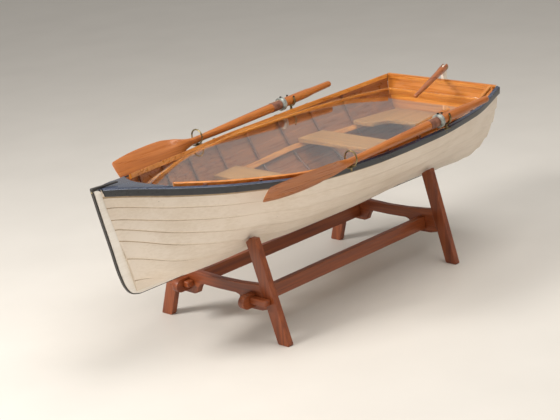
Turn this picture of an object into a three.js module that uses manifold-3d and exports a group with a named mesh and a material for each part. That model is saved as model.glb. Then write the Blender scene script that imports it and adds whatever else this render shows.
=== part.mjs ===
// Small clinker rowing boat, made up as a glass-topped table on a mahogany trestle stand.
// Millimetres. +X towards the bow, +Y to port, +Z up. Feet stand on z = 0.
import * as THREE from 'three';
import { mergeVertices } from 'three/addons/utils/BufferGeometryUtils.js';
import Module from 'manifold-3d';

const wasm = await Module();
wasm.setup();

// ---------------------------------------------------------------- driving dimensions
const GAP = 0.3; // left between pieces that rest on or butt against each other

// Hull envelope
const STERN_X = -660;
const SHEER_LENGTH = 1598;
const KEEL_LENGTH = 1494;
const KEEL_TOP = 237;
const BACKBONE_HALF = 6.5; // half thickness of stem and keel
const PLANK_FOOT = 8.5; // half breadth of the planking where it meets stem and keel

// Outer edge of the rail: [x, half breadth] and [x, height]
const RAIL_BREADTH = [[-660, 246.2], [-450, 301.5], [-200, 324.7], [50, 321.6], [300, 289.5],
  [550, 205.8], [750, 110.8], [860, 53.7], [938, 12]];
const RAIL_HEIGHT = [[-660, 531.3], [-450, 505.3], [-200, 492], [50, 486.9], [300, 488],
  [550, 509.4], [750, 538.6], [860, 558.9], [938, 569.5]];
const RAIL_TILT = 0.41; // rise of the rail's top for each millimetre inboard

// Section shape from stern (0) to stem (1): rise of the bottom at the keel, lean of the topside
// at the rail (radians), and how far each of the two carries before it turns the bilge
const BOTTOM_RISE = [[0, 0.15], [0.2, 0.35], [0.45, 0.18], [0.7, 0.18], [0.88, -0.1], [1, 1.37]];
const TOPSIDE_LEAN = [[0, 0.06], [0.2, 0.35], [0.45, 0.36], [0.7, 0.39], [0.88, 0.08], [1, 0.37]];
const BOTTOM_REACH = [[0, 0.36], [0.2, 0.35], [0.45, 0.36], [0.7, 0.42], [0.88, 0.31], [1, 0.47]];
const TOPSIDE_REACH = [[0, 0.42], [0.2, 0.35], [0.45, 0.35], [0.7, 0.44], [0.88, 0.39], [1, 0.36]];
const STEM_CURVE = 0.83; // how the planks' ends follow the curved stem

// Planking
const SEAMS_MIDSHIPS = [0, 0.19, 0.32, 0.48, 0.61, 0.74, 0.87, 1];
const SEAMS_AT_STEM = [0, 0.177, 0.293, 0.386, 0.497, 0.67, 0.886, 1];
const PLANK = 4;
const LAP = 7;
const BUTT = 0.9; // gap between planks where the laps run out
const LAND_STEP = (PLANK + 0.7) / 2; // half the step from one plank to the next
const TRANSOM_STATION = -0.0025; // the transom's outer face
const PLANK_START = 0.005;
const RAIL_END = 0.992;
const PLANK_STATIONS = 18;

// Rail, inwale, ribs
const RAIL_WIDTH = 10.8;
const RAIL_DEPTH = 22;
const RAIL_BED = 1.2; // bedding between the rail and the top plank
const RIB_XS = [-448, -291, -134, 23, 180, 337, 494, 651];
const RIB_WIDTH = 9;
const RIB_OUTER = 8.4; // inside the hull's reference surface
const RIB_INNER = 13.4;
const INWALE_OUTER = 24.2;
const INWALE_INNER = 31;
const INWALE_END = 0.875;
const INWALE_STATIONS = 18;

// Fore-and-aft outline of stem, forefoot and keel, [x, z]
const STEM_FRONT = [[954, 574], [933, 484], [909, 388], [885, 292], [872, 259], [853, 235],
  [826, 225.5], [790, 224]];
const STEM_BACK = [[932, 567], [915, 555], [888, 505], [869, 440], [858, 400], [842, 345],
  [820, 275], [800, 243]];
const KEEL_BOTTOM = 224;
const BAND_AT_STEM = 4.5;
const BAND_AT_KEEL = 3;
const BAND_HALF = 5.2;

// Transom and rudder
const TRANSOM_FACE = -664;
const TRANSOM_THICK = 11;
const TRANSOM_TOP = 538;
const RUDDER_AXIS = [-672, 0];
const RUDDER_THICK = 10;
const RUDDER_HEAD = 563; // where the head's round top starts
const TILLER_SWING = THREE.MathUtils.degToRad(18);
const TILLER_BOLT = { back: 14, height: 571 };
const TILLER_DROP = THREE.MathUtils.degToRad(5.4); // forward and down to the handle
const TILLER_LENGTH = 304; // bolt to handle tip

// Fittings inside the boat
const GLASS_TOP = 492;
const GLASS_THICK = 6;
const GLASS_AFT = -640;
const GLASS_FORE = 730;
const THWART_THICK = 14;
const STERN_SEAT_TOP = 411;
const CENTRE_THWART = { aft: -290, fore: -170, top: 411 };
const BOW_THWART = { aft: 150, fore: 270, top: 400.5 };
const FLOOR_TOP = 277;
const FLOOR_THICK = 7;

// Oars, measured from the handle's end
const OAR_LENGTH = 1048;
const LOOM = [[0, 5], [3, 9], [9, 11], [95, 12.5], [130, 15], [236, 16], [440, 14.5], [590, 12],
  [663, 11]];
const BLADE = [[663, 11, 11], [702, 11.5, 10.5], [735, 18, 7.5], [773, 32, 5.5], [823, 43.5, 4.4],
  [880, 45.5, 4], [940, 44.5, 3.6], [990, 40.5, 3.2], [1025, 36, 2.9], [1043, 33, 2.6],
  [1048, 29, 2.2]];
const BLADE_LIFT = 16; // curve of the blade's tip
const BLADE_CANT = THREE.MathUtils.degToRad(37);
const SLEEVE = { start: 271, end: 315, radius: 16.8 };
const COLLAR = { start: 254, end: 270.5, radius: 23 };
const OARS = [
  { name: 'port', side: 1, stern: [-250, 316, 528], bow: [220, 309.5, 502.9], end: -486,
    ringX: 204, hornX: -262 },
  { name: 'starboard', side: -1, stern: [-250, -321.4, 528.2], bow: [220, -313, 504.1], end: -442,
    ringX: 235, hornX: -230 },
];

// Rowlocks
const RING_RADIUS = 23.5;
const WIRE = 2.5;
const PIN_RADIUS = 3;
const OAR_PLAY = 0.8; // under the oar's neck, in the ring
const PIN_DEPTH = 14;
const HORN_BAND = 4.5;
const HORN_RISE = THREE.MathUtils.degToRad(36); // how far the horns curl above the oar's middle
const HORN_TIP = THREE.MathUtils.degToRad(41);

// Stand
const TIMBER = 22;
const LEG_WIDTH = 42;
const BOW_FRAME = { x: 487, foot: 252, splay: 0.324 };
const STERN_FRAME = { x: -345, foot: 254, splay: 0.28 };
const LEG_SHOULDER = 322; // no part of a leg is higher
const STRETCHER_Y = 142;
const STRETCHER_BOTTOM = 108;
const STRETCHER_TOP = 150;
const TONGUE = 55;
const KEY = { low: 122, high: 142, width: 26, inboard: 32, outboard: 73, chamfer: 3 };

// Colours, roughness, metalness
const COLOURS = {
  cream: [0xe6dccb, 0.45, 0],
  navy: [0x2a3038, 0.4, 0],
  black: [0x2a2622, 0.4, 0],
  varnish: [0xb9732f, 0.3, 0],
  seat: [0xc9975f, 0.4, 0],
  floor: [0x5b4534, 0.6, 0],
  mahogany: [0x8a3f22, 0.35, 0],
  leather: [0x6b4630, 0.7, 0],
  brass: [0xa08a5c, 0.35, 0.9],
  grey: [0x55565a, 0.45, 0.6],
  glass: [0xcfd8d6, 0.05, 0],
};

// ---------------------------------------------------------------- general helpers
const lerp = THREE.MathUtils.lerp;
const clamp = THREE.MathUtils.clamp;
const point = (x, y, z) => new THREE.Vector3(x, y, z);

function range(count, from, to) {
  return Array.from({ length: count }, (_, i) => lerp(from, to, i / (count - 1)));
}

// A smooth value through [position, value] knots, with no overshoot at the knots
function through(knots) {
  const chord = (i) => (knots[i + 1][1] - knots[i][1]) / (knots[i + 1][0] - knots[i][0]);
  const slope = (i) => {
    if (i === 0) return chord(0);
    if (i === knots.length - 1) return chord(i - 1);
    const [a, b] = [chord(i - 1), chord(i)];
    return a * b > 0 ? (2 * a * b) / (a + b) : 0;
  };
  return (x) => {
    let i = 0;
    while (i < knots.length - 2 && x > knots[i + 1][0]) i += 1;
    const width = knots[i + 1][0] - knots[i][0];
    const s = (x - knots[i][0]) / width;
    const ease = s * s * (3 - 2 * s);
    const start = knots[i][1] * (1 - ease) + slope(i) * width * s * (1 - s) * (1 - s);
    return start + knots[i + 1][1] * ease - slope(i + 1) * width * s * s * (1 - s);
  };
}

// Linear value through [position, value] knots
function linear(knots) {
  return (x) => {
    let i = 0;
    while (i < knots.length - 2 && x > knots[i + 1][0]) i += 1;
    const s = (x - knots[i][0]) / (knots[i + 1][0] - knots[i][0]);
    return lerp(knots[i][1], knots[i + 1][1], clamp(s, 0, 1));
  };
}

function weld(geometry) {
  geometry.deleteAttribute('normal');
  geometry.deleteAttribute('uv');
  return mergeVertices(geometry, 1e-4);
}

function volume(positions, triangles) {
  let six = 0;
  for (let i = 0; i < triangles.length; i += 3) {
    const [a, b, c] = [0, 1, 2].map((k) => positions[triangles[i + k]]);
    six += a.dot(point(0, 0, 0).crossVectors(b, c));
  }
  return six / 6;
}

function closedGeometry(positions, triangles) {
  if (volume(positions, triangles) < 0) triangles.reverse();
  const geometry = new THREE.BufferGeometry();
  geometry.setFromPoints(positions);
  geometry.setIndex(triangles);
  return geometry;
}

// Closed solid through rings of points, with flat ends
function loft(rings) {
  const count = rings[0].length;
  const triangles = [];
  for (let r = 0; r < rings.length - 1; r += 1) {
    for (let i = 0; i < count; i += 1) {
      const j = (i + 1) % count;
      const [a, b] = [r * count + i, r * count + j];
      triangles.push(a, b, b + count, a, b + count, a + count);
    }
  }
  for (const [r, flip] of [[0, false], [rings.length - 1, true]]) {
    const centre = new THREE.Vector3();
    rings[r].forEach((p) => centre.add(p));
    centre.divideScalar(count);
    const normal = new THREE.Vector3();
    rings[r].forEach((p, i) => {
      const q = rings[r][(i + 1) % count];
      normal.add(point(0, 0, 0).crossVectors(p.clone().sub(centre), q.clone().sub(centre)));
    });
    normal.normalize();
    const across = rings[r][1].clone().sub(rings[r][0]).normalize();
    const up = point(0, 0, 0).crossVectors(normal, across);
    const flat = rings[r].map((p) => new THREE.Vector2(p.dot(across), p.dot(up)));
    for (const [a, b, c] of THREE.ShapeUtils.triangulateShape(flat, [])) {
      const face = flip ? [a, b, c] : [a, c, b];
      triangles.push(...face.map((k) => r * count + k));
    }
  }
  return closedGeometry(rings.flat(), triangles);
}

// Closed solid between two surfaces given over the same rows (us) and columns (vs)
function slab(us, vs, top, bottom) {
  const points = [];
  for (const surface of [top, bottom]) {
    for (const u of us) for (const v of vs) points.push(surface(u, v));
  }
  const [rows, columns] = [us.length, vs.length];
  const below = rows * columns;
  const triangles = [];
  const quad = (a, b, c, d) => triangles.push(a, b, c, a, c, d);
  for (let i = 0; i < rows - 1; i += 1) {
    for (let j = 0; j < columns - 1; j += 1) {
      const a = i * columns + j;
      quad(a, a + columns, a + columns + 1, a + 1);
      quad(below + a, below + a + 1, below + a + columns + 1, below + a + columns);
    }
  }
  const edge = (a, b) => quad(a, b, below + b, below + a);
  for (let i = 0; i < rows - 1; i += 1) {
    edge((i + 1) * columns, i * columns);
    edge(i * columns + columns - 1, (i + 1) * columns + columns - 1);
  }
  for (let j = 0; j < columns - 1; j += 1) {
    edge(j, j + 1);
    edge((rows - 1) * columns + j + 1, (rows - 1) * columns + j);
  }
  return closedGeometry(points, triangles);
}

function extrude(shape, depth, basis, offset, segments = 6) {
  const options = { depth, bevelEnabled: false, curveSegments: segments };
  const geometry = new THREE.ExtrudeGeometry(shape, options);
  geometry.applyMatrix4(new THREE.Matrix4().makeBasis(...basis));
  geometry.translate(...offset);
  return weld(geometry);
}

const AXES = { x: point(1, 0, 0), y: point(0, 1, 0), z: point(0, 0, 1) };

// Plates cut from an outline: across X from [y, z], across Y from [z, x], across Z from [x, y]
const plateX = (shape, x0, x1, segments) => (
  extrude(shape, x1 - x0, [AXES.y, AXES.z, AXES.x], [x0, 0, 0], segments));
const plateY = (shape, y0, y1, segments) => (
  extrude(shape, y1 - y0, [AXES.z, AXES.x, AXES.y], [0, y0, 0], segments));
const plateZ = (shape, z0, z1, segments) => (
  extrude(shape, z1 - z0, [AXES.x, AXES.y, AXES.z], [0, 0, z0], segments));

const outline = (pairs) => new THREE.Shape(pairs.map(([u, v]) => new THREE.Vector2(u, v)));
const swapped = (pairs) => pairs.map(([x, z]) => [z, x]);

function box(x0, x1, y0, y1, z0, z1) {
  return plateZ(outline([[x0, y0], [x1, y0], [x1, y1], [x0, y1]]), z0, z1);
}

function cylinder(radius, from, to, segments = 16) {
  const axis = to.clone().sub(from);
  const geometry = new THREE.CylinderGeometry(radius, radius, axis.length(), segments);
  geometry.translate(0, axis.length() / 2, 0);
  const turn = new THREE.Quaternion().setFromUnitVectors(AXES.y, axis.clone().normalize());
  geometry.applyQuaternion(turn);
  geometry.translate(from.x, from.y, from.z);
  return weld(geometry);
}

function toSolid(geometry) {
  const vertProperties = new Float32Array(geometry.attributes.position.array);
  const triVerts = new Uint32Array(geometry.index.array);
  return new wasm.Manifold(new wasm.Mesh({ numProp: 3, vertProperties, triVerts }));
}

function fromSolid(solid) {
  const mesh = solid.getMesh();
  const geometry = new THREE.BufferGeometry();
  geometry.setAttribute('position', new THREE.BufferAttribute(mesh.vertProperties, 3));
  geometry.setIndex(new THREE.BufferAttribute(mesh.triVerts, 1));
  return geometry;
}

function join(...geometries) {
  return fromSolid(geometries.map(toSolid).reduce((a, b) => a.add(b)));
}

function cut(geometry, ...tools) {
  return fromSolid(tools.map(toSolid).reduce((a, b) => a.subtract(b), toSolid(geometry)));
}

// ---------------------------------------------------------------- hull surface
const railBreadth = through(RAIL_BREADTH);
const railHeight = through(RAIL_HEIGHT);
const bottomRise = through(BOTTOM_RISE);
const topsideLean = through(TOPSIDE_LEAN);
const bottomReach = through(BOTTOM_REACH);
const topsideReach = through(TOPSIDE_REACH);
const sheerX = (t) => STERN_X + SHEER_LENGTH * t;

// Section at station t as an evenly stepped curve from rail (0) to keel (1)
const sectionCache = new Map();
function section(t) {
  if (!sectionCache.has(t)) {
    const x = sheerX(t);
    const rail = new THREE.Vector2(Math.max(railBreadth(x) - 9, PLANK_FOOT), railHeight(x) - 1);
    const keel = new THREE.Vector2(PLANK_FOOT, KEEL_TOP);
    const span = rail.distanceTo(keel);
    const [rise, lean] = [bottomRise(t), topsideLean(t)];
    const out = new THREE.Vector2(Math.cos(rise), Math.sin(rise));
    const down = new THREE.Vector2(-Math.sin(lean), -Math.cos(lean));
    const topside = rail.clone().addScaledVector(down, topsideReach(t) * span);
    const bottom = keel.clone().addScaledVector(out, bottomReach(t) * span);
    const curve = new THREE.CubicBezierCurve(rail, topside, bottom, keel);
    curve.arcLengthDivisions = 60;
    sectionCache.set(t, curve);
  }
  return sectionCache.get(t);
}

const girth = (t) => section(t).getLength();

function hullPoint(t, g) {
  const curve = section(t);
  const inside = curve.getPointAt(clamp(g, 0, 1));
  if (g < 0) inside.addScaledVector(curve.getTangentAt(0), g * girth(t));
  const x = STERN_X + t * lerp(SHEER_LENGTH, KEEL_LENGTH, clamp(g, 0, 1) ** STEM_CURVE);
  return point(x, inside.x, inside.y);
}

// Point off the hull surface on the port side: positive offsets are outboard
function skin(t, g, offset) {
  const step = 0.004;
  const [t0, t1] = [Math.max(t - step, 0), Math.min(t + step, 1)];
  const middle = clamp(g, step, 1 - step);
  const along = hullPoint(t1, g).sub(hullPoint(t0, g));
  const downward = hullPoint(t, middle + step).sub(hullPoint(t, middle - step));
  const normal = point(0, 0, 0).crossVectors(along, downward).normalize();
  return hullPoint(t, g).addScaledVector(normal, offset);
}

// Point at height z on the surface that lies offset from the hull
function skinAtHeight(t, z, offset) {
  let [high, low] = [0, 1];
  for (let i = 0; i < 22; i += 1) {
    const middle = (high + low) / 2;
    if (skin(t, middle, offset).z > z) high = middle;
    else low = middle;
  }
  return skin(t, (high + low) / 2, offset);
}

// Point off the hull surface at a given x
function skinAtX(x, g, offset) {
  let t = (x - STERN_X) / SHEER_LENGTH;
  let at = skin(t, g, offset);
  for (let i = 0; i < 4; i += 1) {
    t += (x - at.x) / SHEER_LENGTH;
    at = skin(t, g, offset);
  }
  return at.setX(x);
}

// Half breadth inside the hull at x and z, kept clear of the ribs unless told otherwise
function halfBreadth(x, z, offset = -(RIB_INNER + 1)) {
  let t = (x - STERN_X) / SHEER_LENGTH;
  let at = skinAtHeight(t, z, offset);
  for (let i = 0; i < 4; i += 1) {
    t += (x - at.x) / SHEER_LENGTH;
    at = skinAtHeight(t, z, offset);
  }
  return at.y;
}

const onSide = (p, side) => point(p.x, side * p.y, p.z);

// Point inboard of the rail's outer edge by w, and dz above that edge's height
function rimPoint(x, w, dz) {
  const slope = railBreadth(x + 1) - railBreadth(x);
  const run = Math.hypot(slope, 1);
  return point(x + (slope / run) * w, railBreadth(x) - w / run, railHeight(x) + dz);
}

// ---------------------------------------------------------------- planking
// Stations shared by planks and rails, closer together towards the bow
const STATIONS = range(PLANK_STATIONS, 0, 1).map((s) => (
  lerp(PLANK_START, RAIL_END, s + 0.12 * Math.sin(Math.PI * s) * s)));

function seam(t, i) {
  const blend = clamp((t - 0.45) / 0.55, 0, 1) ** 2;
  return lerp(SEAMS_MIDSHIPS[i], SEAMS_AT_STEM[i], blend);
}

// The lap closes to a butt, and the step dies away, as the planks reach the stem
const lapAt = linear([[0, LAP], [0.82, LAP], [0.9, -BUTT], [1, -BUTT]]);
const landAt = linear([[0, LAND_STEP], [0.9, LAND_STEP], [1, 0.2]]);

// Girth positions of a plank's edges and laps, top to bottom, and the outer face's offset there
function plankLines(t, row) {
  const lap = lapAt(t) / girth(t);
  const width = Math.abs(lap);
  const land = landAt(t);
  const [top, foot] = [seam(t, row), seam(t, row + 1)];
  const [edge, turn] = row === 0 ? [top, top + width] : [top - lap, top + Math.max(-lap, 0) + 1e-3];
  return [[edge, -land], [turn, -land], [foot - width, land], [foot, land]];
}

function plank(row, side) {
  const surface = (inner) => (t, v) => {
    const [g, offset] = plankLines(t, row)[v];
    const p = skin(t, g, offset - (inner ? PLANK : 0));
    p.y = Math.max(p.y, inner ? BACKBONE_HALF + GAP : BACKBONE_HALF + GAP + 1.2);
    return onSide(p, side);
  };
  return slab([...STATIONS, 1], [0, 1, 2, 3], surface(false), surface(true));
}

// ---------------------------------------------------------------- backbone
function stemLine(inset) {
  const curve = new THREE.SplineCurve(STEM_FRONT.map(([x, z]) => new THREE.Vector2(x, z)));
  return range(15, 0, 1).map((s) => {
    const p = curve.getPoint(s);
    const tangent = curve.getTangent(s);
    return [p.x - inset(s) * -tangent.y, p.y + inset(s) * -tangent.x];
  });
}

const bandWidth = (s) => lerp(BAND_AT_STEM, BAND_AT_KEEL, THREE.MathUtils.smoothstep(s, 0.62, 1));

function backbone() {
  const front = stemLine((s) => bandWidth(s) + GAP);
  front[0] = [front[0][0], STEM_BACK[0][1] + 2];
  const keelBottom = KEEL_BOTTOM + BAND_AT_KEEL + GAP;
  const profile = [...front, [TRANSOM_FACE + 1, keelBottom], [TRANSOM_FACE + 1, KEEL_TOP + 6],
    ...STEM_BACK.slice().reverse()];
  return plateY(outline(swapped(profile)), -BACKBONE_HALF, BACKBONE_HALF);
}

function stemBand() {
  const outer = stemLine(() => 0);
  const inner = stemLine(bandWidth);
  const stripTop = [[856, 571], [856, 574.5], [952, 578]];
  inner[0] = [inner[0][0], STEM_BACK[0][1] + 2 + GAP];
  const profile = [...stripTop, ...outer, [TRANSOM_FACE + 1, KEEL_BOTTOM],
    [TRANSOM_FACE + 1, KEEL_BOTTOM + BAND_AT_KEEL], ...inner.slice().reverse(),
    [932, 571]];
  return plateY(outline(swapped(profile)), -BAND_HALF, BAND_HALF);
}

function breasthook() {
  const edge = (x) => railBreadth(x) - RAIL_WIDTH - PLANK - 2.5;
  const aft = (v) => 786 - 46 * v * v;
  const fore = 905;
  const surface = (down) => (u, v) => {
    const x = lerp(aft(v), fore, u);
    const height = railHeight(x) + lerp(8, 4, u) - 1.5 * v * v;
    return point(x, v * (edge(x) - (down ? 1 : 0)), height - down);
  };
  return slab(range(7, 0, 1), range(9, -1, 1), surface(0), surface(7));
}

function transom() {
  const underRail = (RAIL_DEPTH + 1.5) / girth(0);
  const lines = [[0, -LAND_STEP - 0.5], [underRail, -LAND_STEP - 0.5]];
  range(12, underRail, 1).forEach((g) => lines.push([g, LAND_STEP + 1]));
  const side = lines.map(([g, offset]) => {
    const p = skin(0, g, offset);
    return [Math.max(p.y, BACKBONE_HALF), p.z];
  });
  side[0] = [side[0][0] - 0.5, TRANSOM_TOP];
  const port = side.map(([y, z]) => [y, z]);
  const starboard = side.map(([y, z]) => [-y, z]).reverse();
  const lowest = KEEL_TOP + 6 + GAP;
  const clipped = [...port, ...starboard].map(([y, z]) => [y, Math.max(z, lowest)]);
  return plateX(outline(clipped), TRANSOM_FACE, TRANSOM_FACE + TRANSOM_THICK);
}

// ---------------------------------------------------------------- rails, inwales, ribs
function rail(side) {
  const rings = [TRANSOM_STATION, ...STATIONS].map((t) => {
    const x = sheerX(t);
    const [top, turn, low] = plankLines(t, 0).map(([g, offset]) => skin(t, g, offset + RAIL_BED));
    const drop = clamp((RAIL_DEPTH - LAP) / turn.distanceTo(low), 0, 1);
    const ring = [rimPoint(x, 0, 0), rimPoint(x, RAIL_WIDTH, RAIL_WIDTH * RAIL_TILT),
      top, turn, turn.clone().lerp(low, drop)];
    const foot = ring[4].clone();
    foot.y += RAIL_WIDTH - 1;
    ring.push(foot);
    ring.slice(1, 5).forEach((p) => { p.y = Math.max(p.y, BACKBONE_HALF + GAP + 2.6); });
    ring[0].y = Math.max(ring[0].y, BACKBONE_HALF + 6);
    return ring.map((p) => onSide(p, side));
  });
  return loft(rings);
}

function inwale(side) {
  const rings = range(INWALE_STATIONS, 0.0105, INWALE_END).map((t) => {
    const x = sheerX(t);
    const lean = Math.tan(topsideLean(t));
    const ring = [
      rimPoint(x, INWALE_OUTER, INWALE_OUTER * RAIL_TILT),
      rimPoint(x, INWALE_INNER, INWALE_INNER * RAIL_TILT),
      rimPoint(x, INWALE_INNER + 2, -2.4),
      rimPoint(x, INWALE_OUTER + 15 * Math.max(lean, 0), -4),
    ];
    return ring.map((p) => onSide(p, side));
  });
  return loft(rings);
}

function rib(x) {
  const head = -6 / girth((x - STERN_X) / SHEER_LENGTH);
  const half = [head, 0.03, 0.14, 0.26, 0.38, 0.5, 0.62, 0.75, 0.87, 0.96];
  const ringAt = (g, side) => [[RIB_OUTER, -1], [RIB_OUTER, 1], [RIB_INNER, 1], [RIB_INNER, -1]]
    .map(([inside, fore]) => {
      const p = skinAtX(x + (fore * RIB_WIDTH) / 2, g, -inside);
      return onSide(p, side);
    });
  const port = half.map((g) => ringAt(g, 1));
  const starboard = half.map((g) => ringAt(g, -1)).reverse();
  return loft([...port, ...starboard]);
}

// ---------------------------------------------------------------- inside the boat
const riserTop = through([[-640, 396], [-150, 396], [120, 386], [620, 386]]);

function riser(side) {
  const rings = range(13, 0.02, 0.79).map((t) => {
    const top = riserTop(sheerX(t));
    const outer = [top, top - 12].map((z) => skinAtHeight(t, z, -RIB_INNER - 1.3));
    const inner = outer.map((p) => point(p.x, p.y - 9, p.z));
    return [outer[0], outer[1], inner[1], inner[0]].map((p) => onSide(p, side));
  });
  return loft(rings);
}

function thwart({ aft, fore, top }) {
  const under = top - THWART_THICK;
  const half = (u) => halfBreadth(lerp(aft, fore, u), under);
  const surface = (z) => (u, v) => point(lerp(aft, fore, u), v * half(u), z);
  return slab(range(4, 0, 1), [-1, 1], surface(top), surface(under));
}

function sternSheets() {
  const under = STERN_SEAT_TOP - THWART_THICK;
  const aft = TRANSOM_FACE + TRANSOM_THICK + 2;
  const armTip = -436;
  const middle = -510;
  const armWidth = 82;
  const sides = range(6, aft, armTip).map((x) => [x, halfBreadth(x, under)]);
  const inner = halfBreadth(armTip, under) - armWidth;
  const shape = new THREE.Shape();
  sides.forEach(([x, y], i) => (i ? shape.lineTo(x, y) : shape.moveTo(x, y)));
  shape.lineTo(armTip, inner + 12);
  shape.quadraticCurveTo(armTip, inner, armTip - 14, inner - 4);
  shape.bezierCurveTo(armTip - 45, inner - 14, middle, inner - 20, middle, inner - 55);
  shape.lineTo(middle, 55 - inner);
  shape.bezierCurveTo(middle, 20 - inner, armTip - 45, 14 - inner, armTip - 14, 4 - inner);
  shape.quadraticCurveTo(armTip, -inner, armTip, -inner - 12);
  sides.reverse().forEach(([x, y]) => shape.lineTo(x, -y));
  return plateZ(shape, under, STERN_SEAT_TOP);
}

function floorBoards() {
  const under = FLOOR_TOP - FLOOR_THICK;
  const width = through([[-560, 60], [-380, 86], [-100, 92], [200, 88], [470, 58]]);
  const xs = range(8, -560, 470);
  const breadth = (x) => Math.min(width(x), halfBreadth(x, under) - 1);
  const port = xs.map((x) => [x, breadth(x)]);
  const starboard = xs.map((x) => [x, -breadth(x)]).reverse();
  const boards = plateZ(outline([...port, ...starboard]), under, FLOOR_TOP);
  const gaps = [-54, -18, 18, 54].map((y) => {
    const reach = Math.abs(y) > 20 ? 400 : 520;
    return box(-reach, reach - 100, y - 2, y + 2, under - 5, FLOOR_TOP + 5);
  });
  return cut(boards, ...gaps);
}

// The glass fits inside the inwales, and forward and aft of them inside the ribs
function glassHalf(x) {
  const rim = railBreadth(x) - INWALE_INNER - 4.5;
  return Math.min(rim, halfBreadth(x, GLASS_TOP - GLASS_THICK, -(RIB_INNER + 2.5)));
}

function glassTop() {
  const surface = (z) => (x, v) => point(x, v * glassHalf(x), z);
  const xs = range(17, GLASS_AFT, GLASS_FORE);
  return slab(xs, [-1, 1], surface(GLASS_TOP), surface(GLASS_TOP - GLASS_THICK));
}

function glassLedge() {
  const top = GLASS_TOP - GLASS_THICK - GAP;
  const depth = 8;
  const outer = (x) => Math.min(glassHalf(x), halfBreadth(x, top - depth));
  const run = (side) => loft(range(15, GLASS_AFT, GLASS_FORE - 6).map((x) => (
    [[0, 0], [9, 0], [9, depth], [0, depth]].map(([inside, down]) => (
      point(x, side * (outer(x) - inside), top - down))))));
  const across = outer(GLASS_AFT) - 2;
  const aft = box(GLASS_AFT, GLASS_AFT + 9, -across, across, top - depth, top);
  return join(run(1), run(-1), aft);
}

// ---------------------------------------------------------------- oars and rowlocks
function oarFrame(oar) {
  const [stern, bow] = [point(...oar.stern), point(...oar.bow)];
  const along = bow.clone().sub(stern).normalize();
  const handle = stern.clone().addScaledVector(along, (oar.end - stern.x) / along.x);
  const up = AXES.z.clone().addScaledVector(along, -along.z).normalize();
  const out = point(0, 0, 0).crossVectors(along, up).multiplyScalar(-oar.side);
  return { along, handle, up, out };
}

const alongOar = (frame, distance) => (
  frame.handle.clone().addScaledVector(frame.along, distance));

function oarShaft(oar) {
  const frame = oarFrame(oar);
  const sides = 14;
  const ring = (s, wide, thick, lift) => Array.from({ length: sides }, (_, k) => {
    const turn = (2 * Math.PI * k) / sides;
    const cant = BLADE_CANT * THREE.MathUtils.smoothstep(s, 690, 800);
    const [width, face] = [wide * Math.cos(turn), thick * Math.sin(turn) + lift];
    return alongOar(frame, s)
      .addScaledVector(frame.up, -width * Math.cos(cant) + face * Math.sin(cant))
      .addScaledVector(frame.out, -width * Math.sin(cant) - face * Math.cos(cant));
  });
  const lift = (s) => BLADE_LIFT * clamp((s - 760) / (OAR_LENGTH - 760), 0, 1) ** 2;
  const loom = LOOM.slice(0, -1).map(([s, radius]) => ring(s, radius, radius, 0));
  const blade = BLADE.map(([s, wide, thick]) => ring(s, wide, thick, lift(s)));
  return loft([...loom, ...blade]);
}

const loomRadius = linear(LOOM);

// Sleeve or collar round the loom, with a clear bore
function oarBand(oar, { start, end, radius }) {
  const frame = oarFrame(oar);
  const bore = loomRadius(start) + GAP + 0.2;
  const soft = Math.min((radius - bore) / 2, 1.2);
  const profile = [[bore, 0], [radius - soft, 0], [radius, soft], [radius, end - start - soft],
    [radius - soft, end - start], [bore, end - start], [bore, 0]];
  const geometry = new THREE.LatheGeometry(profile.map(([r, y]) => new THREE.Vector2(r, y)), 18);
  geometry.applyQuaternion(new THREE.Quaternion().setFromUnitVectors(AXES.y, frame.along));
  geometry.translate(...alongOar(frame, start).toArray());
  return weld(geometry);
}

function oarHeightAt(oar, x) {
  const frame = oarFrame(oar);
  return alongOar(frame, (x - frame.handle.x) / frame.along.x);
}

// Where a rowlock's pin stands: on the rail, under the oar
function rowlockFoot(oar, x) {
  return point(x, oarHeightAt(oar, x).y, railHeight(x) - 0.4);
}

function pin(foot) {
  return cylinder(PIN_RADIUS, point(foot.x, foot.y, foot.z - PIN_DEPTH),
    point(foot.x, foot.y, foot.z + 3));
}

function ringRowlock(oar) {
  const foot = rowlockFoot(oar, oar.ringX);
  const ring = new THREE.TorusGeometry(RING_RADIUS, WIRE, 8, 24);
  ring.rotateY(Math.PI / 2);
  const neck = oarHeightAt(oar, oar.ringX).z - LOOM[LOOM.length - 1][1] - OAR_PLAY;
  ring.translate(foot.x, foot.y, neck + RING_RADIUS - WIRE);
  const base = cylinder(6, foot.clone().setZ(foot.z + GAP), foot.clone().setZ(foot.z + 2.5));
  return join(weld(ring), base, pin(foot));
}

function hornRowlock(oar) {
  const foot = rowlockFoot(oar, oar.hornX);
  const centre = oarHeightAt(oar, oar.hornX);
  const inner = loomRadius(236) + 1;
  const outer = inner + HORN_BAND;
  const shape = new THREE.Shape();
  shape.absarc(0, 0, outer, Math.PI - HORN_RISE, 2 * Math.PI + HORN_RISE, false);
  shape.absarc(0, 0, inner, 2 * Math.PI + HORN_RISE, Math.PI - HORN_RISE, true);
  const band = plateX(shape, -4.5, 4.5, 12);
  band.translate(foot.x, centre.y, centre.z);
  const stalkTop = centre.z - inner - 2;
  const stalk = cylinder(5, foot.clone().setZ(foot.z + GAP), foot.clone().setZ(stalkTop));
  const tipRadius = inner + 3.4;
  const tips = [-1, 1].map((hand) => {
    const ball = new THREE.SphereGeometry(3.6, 10, 8);
    ball.translate(foot.x, centre.y + hand * tipRadius * Math.cos(HORN_TIP),
      centre.z + tipRadius * Math.sin(HORN_TIP));
    return weld(ball);
  });
  return join(band, stalk, pin(foot), ...tips);
}

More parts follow.
